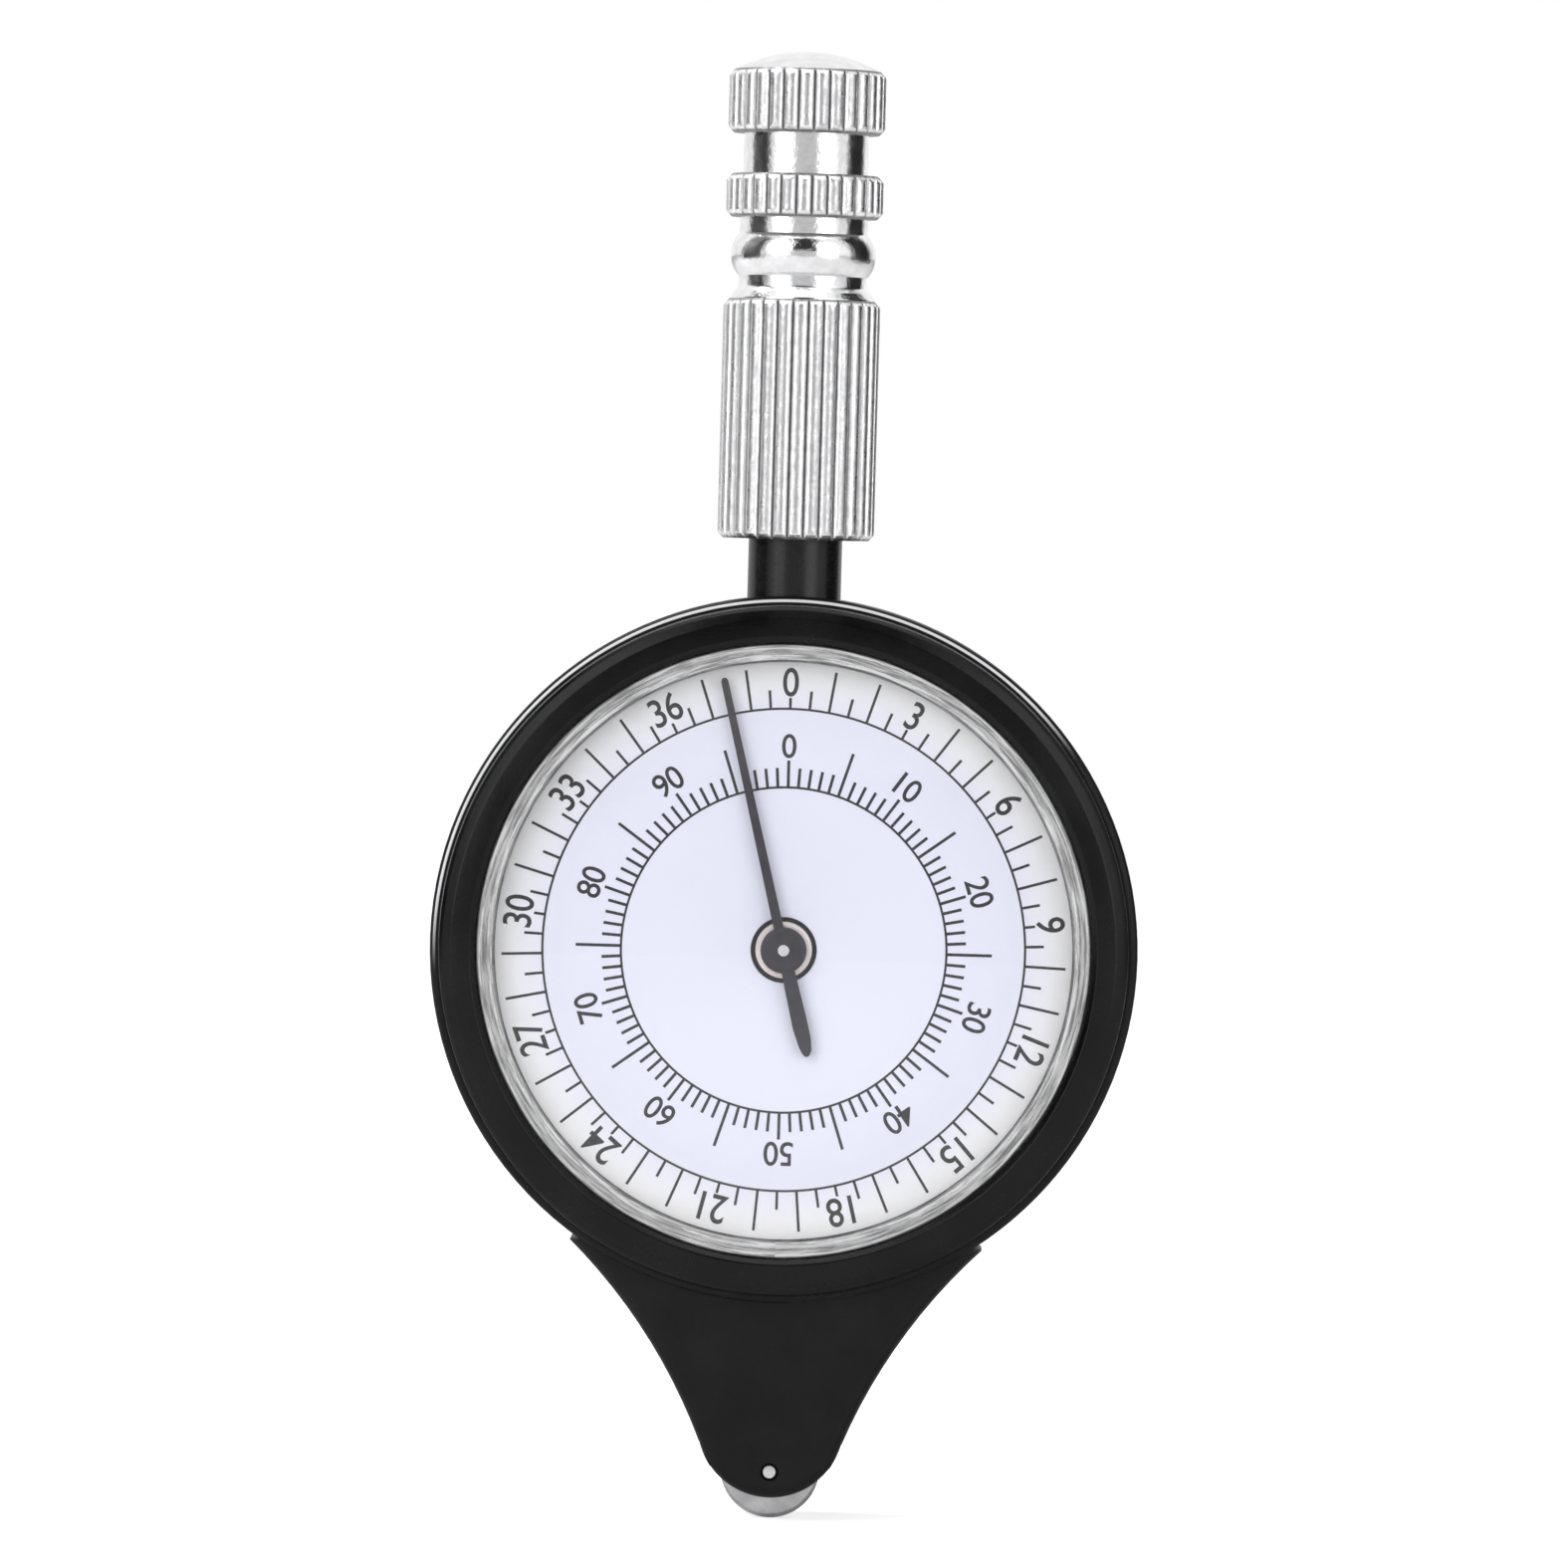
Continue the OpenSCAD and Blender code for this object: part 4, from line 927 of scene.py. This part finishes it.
bezel_plastic = spotted("bezel_plastic", (0.003, 0.003, 0.0035), (0.006, 0.006, 0.0065), 0.18, 0.28,
                        (200.0, 0.2), specular=0.18, relief=0.000005, grain=(4200.0, 0.35))
CASE_FRONT = BEZEL_FRONT - 1.9
SEAT = CASE_FRONT + 0.75       # the bezel's underside, on the crystal's flange
RING_FOOT = CASE_FRONT + 0.02
HOOK_R = BEZEL_R - 0.2         # the skirt that snaps into the groove of the case
SKIRT_IN_R = BEZEL_R - 0.6
HOOK_END = CASE_FRONT - 0.8
bezel_outline = softened([
    (BEZEL_IN_R, SEAT, 0), (BEZEL_IN_R, BEZEL_FRONT - 0.35, 0.15), (BEZEL_IN_R + 0.4, BEZEL_FRONT, 0.2),
    (BEZEL_R - 1.0, BEZEL_FRONT - 0.22, 0.5), (BEZEL_R - 0.4, BEZEL_FRONT - 0.55, 0.4),
    (BEZEL_R - 0.16, CASE_FRONT + 1.15, 0.1), (BEZEL_R, RING_FOOT, 0), (HOOK_R, RING_FOOT, 0),
    (HOOK_R, HOOK_END, 0.1), (SKIRT_IN_R, HOOK_END, 0.1), (SKIRT_IN_R, SEAT, 0)])
bezel = add_piece("bezel_moulded", turned("bezel_moulded", bezel_outline, face_on(), 256), "case",
                  [bezel_plastic], "bezel_ring")

# ---- Stem and stud --------------------------------------------------------------------------
# A short black plastic rod, clamped by its flange between the case halves, and the steel stud
# that joins it to the handle.

repaint("stem", spotted("stem_plastic", (0.003, 0.003, 0.0035), (0.006, 0.006, 0.0065), 0.2, 0.3,
                        (3500.0, 0.35), specular=0.35, relief=0.000004))
repaint("handle_stud", turned_metal("stud_steel", (0.72, 0.73, 0.75), (0.55, 0.56, 0.58),
                                    0.25, 0.4, 0.000004))

# ---- Handle ---------------------------------------------------------------------------------
# Turned from one knurled bar and plated: a long straight-knurled sleeve, a shoulder and a bead,
# two narrow knurled bands with plain necks, and a domed end. The plating is bright and uneven.

HANDLE_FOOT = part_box("handle")[0].z
KNURL_R = 5.58
KNURL_DEPTH = 0.34
KNURL_TEETH = 30
KNURL_END = 0.42               # chamfer at both ends of a knurled band
SLEEVE_L = 16.95
SHOULDER_L = 0.85
UNDER_BEAD_L = 0.8             # short neck under the bead, and over it
OVER_BEAD_L = 1.15
SHORT_NECK_R = 4.55
BEAD_R = 5.14
BEAD_L = 3.0
LOWER_BAND_L = 3.05
NECK_L = 2.9
NECK_R = 4.42
UPPER_BAND_L = 4.5
DOME_H = 1.3
DOME_R = KNURL_R - KNURL_END
CORE_R = 4.9                   # the core inside the knurled sleeve
CORE_FOOT = 0.2
BEAD_FOOT = SLEEVE_L + SHOULDER_L + UNDER_BEAD_L
LOWER_FOOT = BEAD_FOOT + BEAD_L + OVER_BEAD_L
NECK_FOOT = LOWER_FOOT + LOWER_BAND_L
UPPER_FOOT = NECK_FOOT + NECK_L
DOME_FOOT = UPPER_FOOT + UPPER_BAND_L

# A knurled band: a finely divided cylinder whose surface is pushed in between the teeth, with
# slightly crowned crests, sharp valleys and a chamfer at both ends.
CREST_SHARE = 0.5              # share of the tooth that its crest fills
CROWN = 0.24                   # how much the crest falls off to its sides
POINTS_PER_TOOTH = 12
knurl, start, end = new_group(
    "knurled_band",
    [("Radius", FLOAT), ("Depth", FLOAT), ("Teeth", WHOLE), ("Length", FLOAT), ("Chamfer", FLOAT),
     ("Divisions", WHOLE), ("Plating", MATERIAL)],
    "Band", SHAPE, "GeometryNodeTree")
tube = knurl.nodes.new("GeometryNodeMeshCylinder")
tube.fill_type = "NGON"
points_round = math_node(knurl, "MULTIPLY", start.outputs["Teeth"], POINTS_PER_TOOTH)
knurl.links.new(points_round, tube.inputs["Vertices"])
knurl.links.new(start.outputs["Divisions"], tube.inputs["Side Segments"])
knurl.links.new(start.outputs["Length"], tube.inputs["Depth"])
knurl.links.new(start.outputs["Radius"], tube.inputs["Radius"])
place = knurl.nodes.new("GeometryNodeInputPosition").outputs[0]
axes = split_axes(knurl, place)
angle = math_node(knurl, "ARCTAN2", axes["Y"], axes["X"])
tooth = math_node(knurl, "MULTIPLY", math_node(knurl, "DIVIDE", angle, 2 * math.pi), start.outputs["Teeth"])
across = math_node(knurl, "ABSOLUTE", math_node(knurl, "SUBTRACT", math_node(knurl, "FRACT", tooth), 0.5))
from_crest = math_node(knurl, "MULTIPLY", across, 2.0)
flank = math_node(knurl, "DIVIDE", math_node(knurl, "SUBTRACT", from_crest, CREST_SHARE), 1 - CREST_SHARE)
flank_depth = math_node(knurl, "MULTIPLY", flank, start.outputs["Depth"])
crown = math_node(knurl, "MULTIPLY", math_node(knurl, "POWER", from_crest, 2.0), CROWN)
hollow = math_node(knurl, "MAXIMUM", flank_depth, crown)
half_length = math_node(knurl, "MULTIPLY", start.outputs["Length"], 0.5)
to_end = math_node(knurl, "SUBTRACT", half_length, math_node(knurl, "ABSOLUTE", axes["Z"]))
end_cut = math_node(knurl, "MAXIMUM", math_node(knurl, "SUBTRACT", start.outputs["Chamfer"], to_end), 0.0)
cut = math_node(knurl, "MAXIMUM", hollow, end_cut)
share = math_node(knurl, "DIVIDE", math_node(knurl, "SUBTRACT", start.outputs["Radius"], cut),
                  start.outputs["Radius"])
pushed = join_axes(knurl, X=math_node(knurl, "MULTIPLY", axes["X"], share),
                   Y=math_node(knurl, "MULTIPLY", axes["Y"], share), Z=axes["Z"])
moved = knurl.nodes.new("GeometryNodeSetPosition")
knurl.links.new(tube.outputs["Mesh"], moved.inputs["Geometry"])
knurl.links.new(pushed, moved.inputs["Position"])
coat(knurl, moved.outputs["Geometry"], start.outputs["Plating"], end.inputs["Band"])

chrome = spotted("bright_plating", (0.90, 0.90, 0.91), (0.74, 0.74, 0.75), 0.10, 0.22, (900.0, 0.25),
                 metallic=1.0, relief=0.00001, grain=(2600.0, 0.3))

# Tones of the knurl from valley to crest: painted shade darkens the valleys, and the crest tops are darker
# again.
KNURL_TONES_AND_VALLEY_SHADE = ((0.0, 0.25), (0.2, 0.42), (0.42, 0.95), (0.8, 0.95), (0.93, 0.62))
rough_chrome, tree, bsdf = new_material("knurled_plating", 1.0)
haze = place_group(tree, blotches, Spots_per_metre=1400.0, Spread=0.2)
dents = place_group(tree, blotches, Spots_per_metre=2200.0, Spread=0.25)
radius, flat = axis_radius(tree, (0, 0, 0), (1, 1, 0))
height = spread(tree, radius, 0.0, 1.0, (KNURL_R - KNURL_DEPTH) * MM, KNURL_R * MM)
# Painted shade: the knurl's valleys are darkened in its colour.
tones = tone_ramp(tree, height, KNURL_TONES_AND_VALLEY_SHADE, 1.005)
uneven = blend_colours(tree, haze, (1.0, 1.0, 1.0), (0.8, 0.8, 0.81))
tree.links.new(multiply_colours(tree, tones, uneven), bsdf.inputs["Base Color"])
tree.links.new(spread(tree, haze, 0.26, 0.4), bsdf.inputs["Roughness"])
bump(tree, dents, 0.00002)

for name, foot, length, divisions in (("knurled_sleeve", 0.0, SLEEVE_L, 96),
                                      ("lower_knurled_band", LOWER_FOOT, LOWER_BAND_L, 20),
                                      ("upper_knurled_band", UPPER_FOOT, UPPER_BAND_L, 26)):
    band_mesh = grow(name, knurl, {"Radius": KNURL_R, "Depth": KNURL_DEPTH, "Teeth": KNURL_TEETH,
                                   "Length": length, "Chamfer": KNURL_END, "Divisions": divisions,
                                   "Plating": rough_chrome})
    band_mesh.transform(on_handle(HANDLE_FOOT) @ TO_METRES
                        @ Matrix.Translation((0, 0, foot + length / 2)))
    band_mesh.shade_smooth()
    band_mesh.set_sharp_from_angle(angle=math.radians(22))
    band = add_piece(name, band_mesh, "case", [], "handle")

bead_arc_r = (BEAD_L * BEAD_L / 4 + (BEAD_R - SHORT_NECK_R) ** 2) / (2 * (BEAD_R - SHORT_NECK_R))
bead_half = math.asin(BEAD_L / 2 / bead_arc_r)
bead_middle = BEAD_FOOT + BEAD_L / 2
bead = [(BEAD_R - bead_arc_r + bead_arc_r * math.cos(a), bead_middle + bead_arc_r * math.sin(a), 0)
        for a in (bead_half * (k / 8 - 1) for k in range(17))]
ball_r = (DOME_R * DOME_R + DOME_H * DOME_H) / (2 * DOME_H)
dome_half = math.asin(DOME_R / ball_r)
dome = [(ball_r * math.sin(a), DOME_FOOT + DOME_H - ball_r + ball_r * math.cos(a), 0)
        for a in (dome_half * (1 - k / 14) for k in range(14))]
core_outline = softened(
    [(0, CORE_FOOT, 0), (CORE_R, CORE_FOOT, 0), (CORE_R, SLEEVE_L - 0.01, 0), (DOME_R, SLEEVE_L - 0.01, 0),
     (DOME_R - 0.04, SLEEVE_L + 0.1, 0.1), (SHORT_NECK_R + 0.3, SLEEVE_L + 0.6 * SHOULDER_L, 0.4),
     (SHORT_NECK_R, SLEEVE_L + SHOULDER_L, 0.3), (SHORT_NECK_R, BEAD_FOOT - 0.05, 0)]
    + bead
    + [(SHORT_NECK_R, BEAD_FOOT + BEAD_L + 0.05, 0), (SHORT_NECK_R, LOWER_FOOT + 0.2, 0),
       (NECK_R, NECK_FOOT - 0.3, 0), (NECK_R, UPPER_FOOT + 0.3, 0), (NECK_R, DOME_FOOT - 0.3, 0),
       (DOME_R, DOME_FOOT - 0.15, 0)]
    + dome
    + [(0, DOME_FOOT + DOME_H, 0)], 6)
core_mesh = turned("handle_core", core_outline, on_handle(HANDLE_FOOT), 160, 25)
core = add_piece("handle_core", core_mesh, "case", [chrome], "handle")
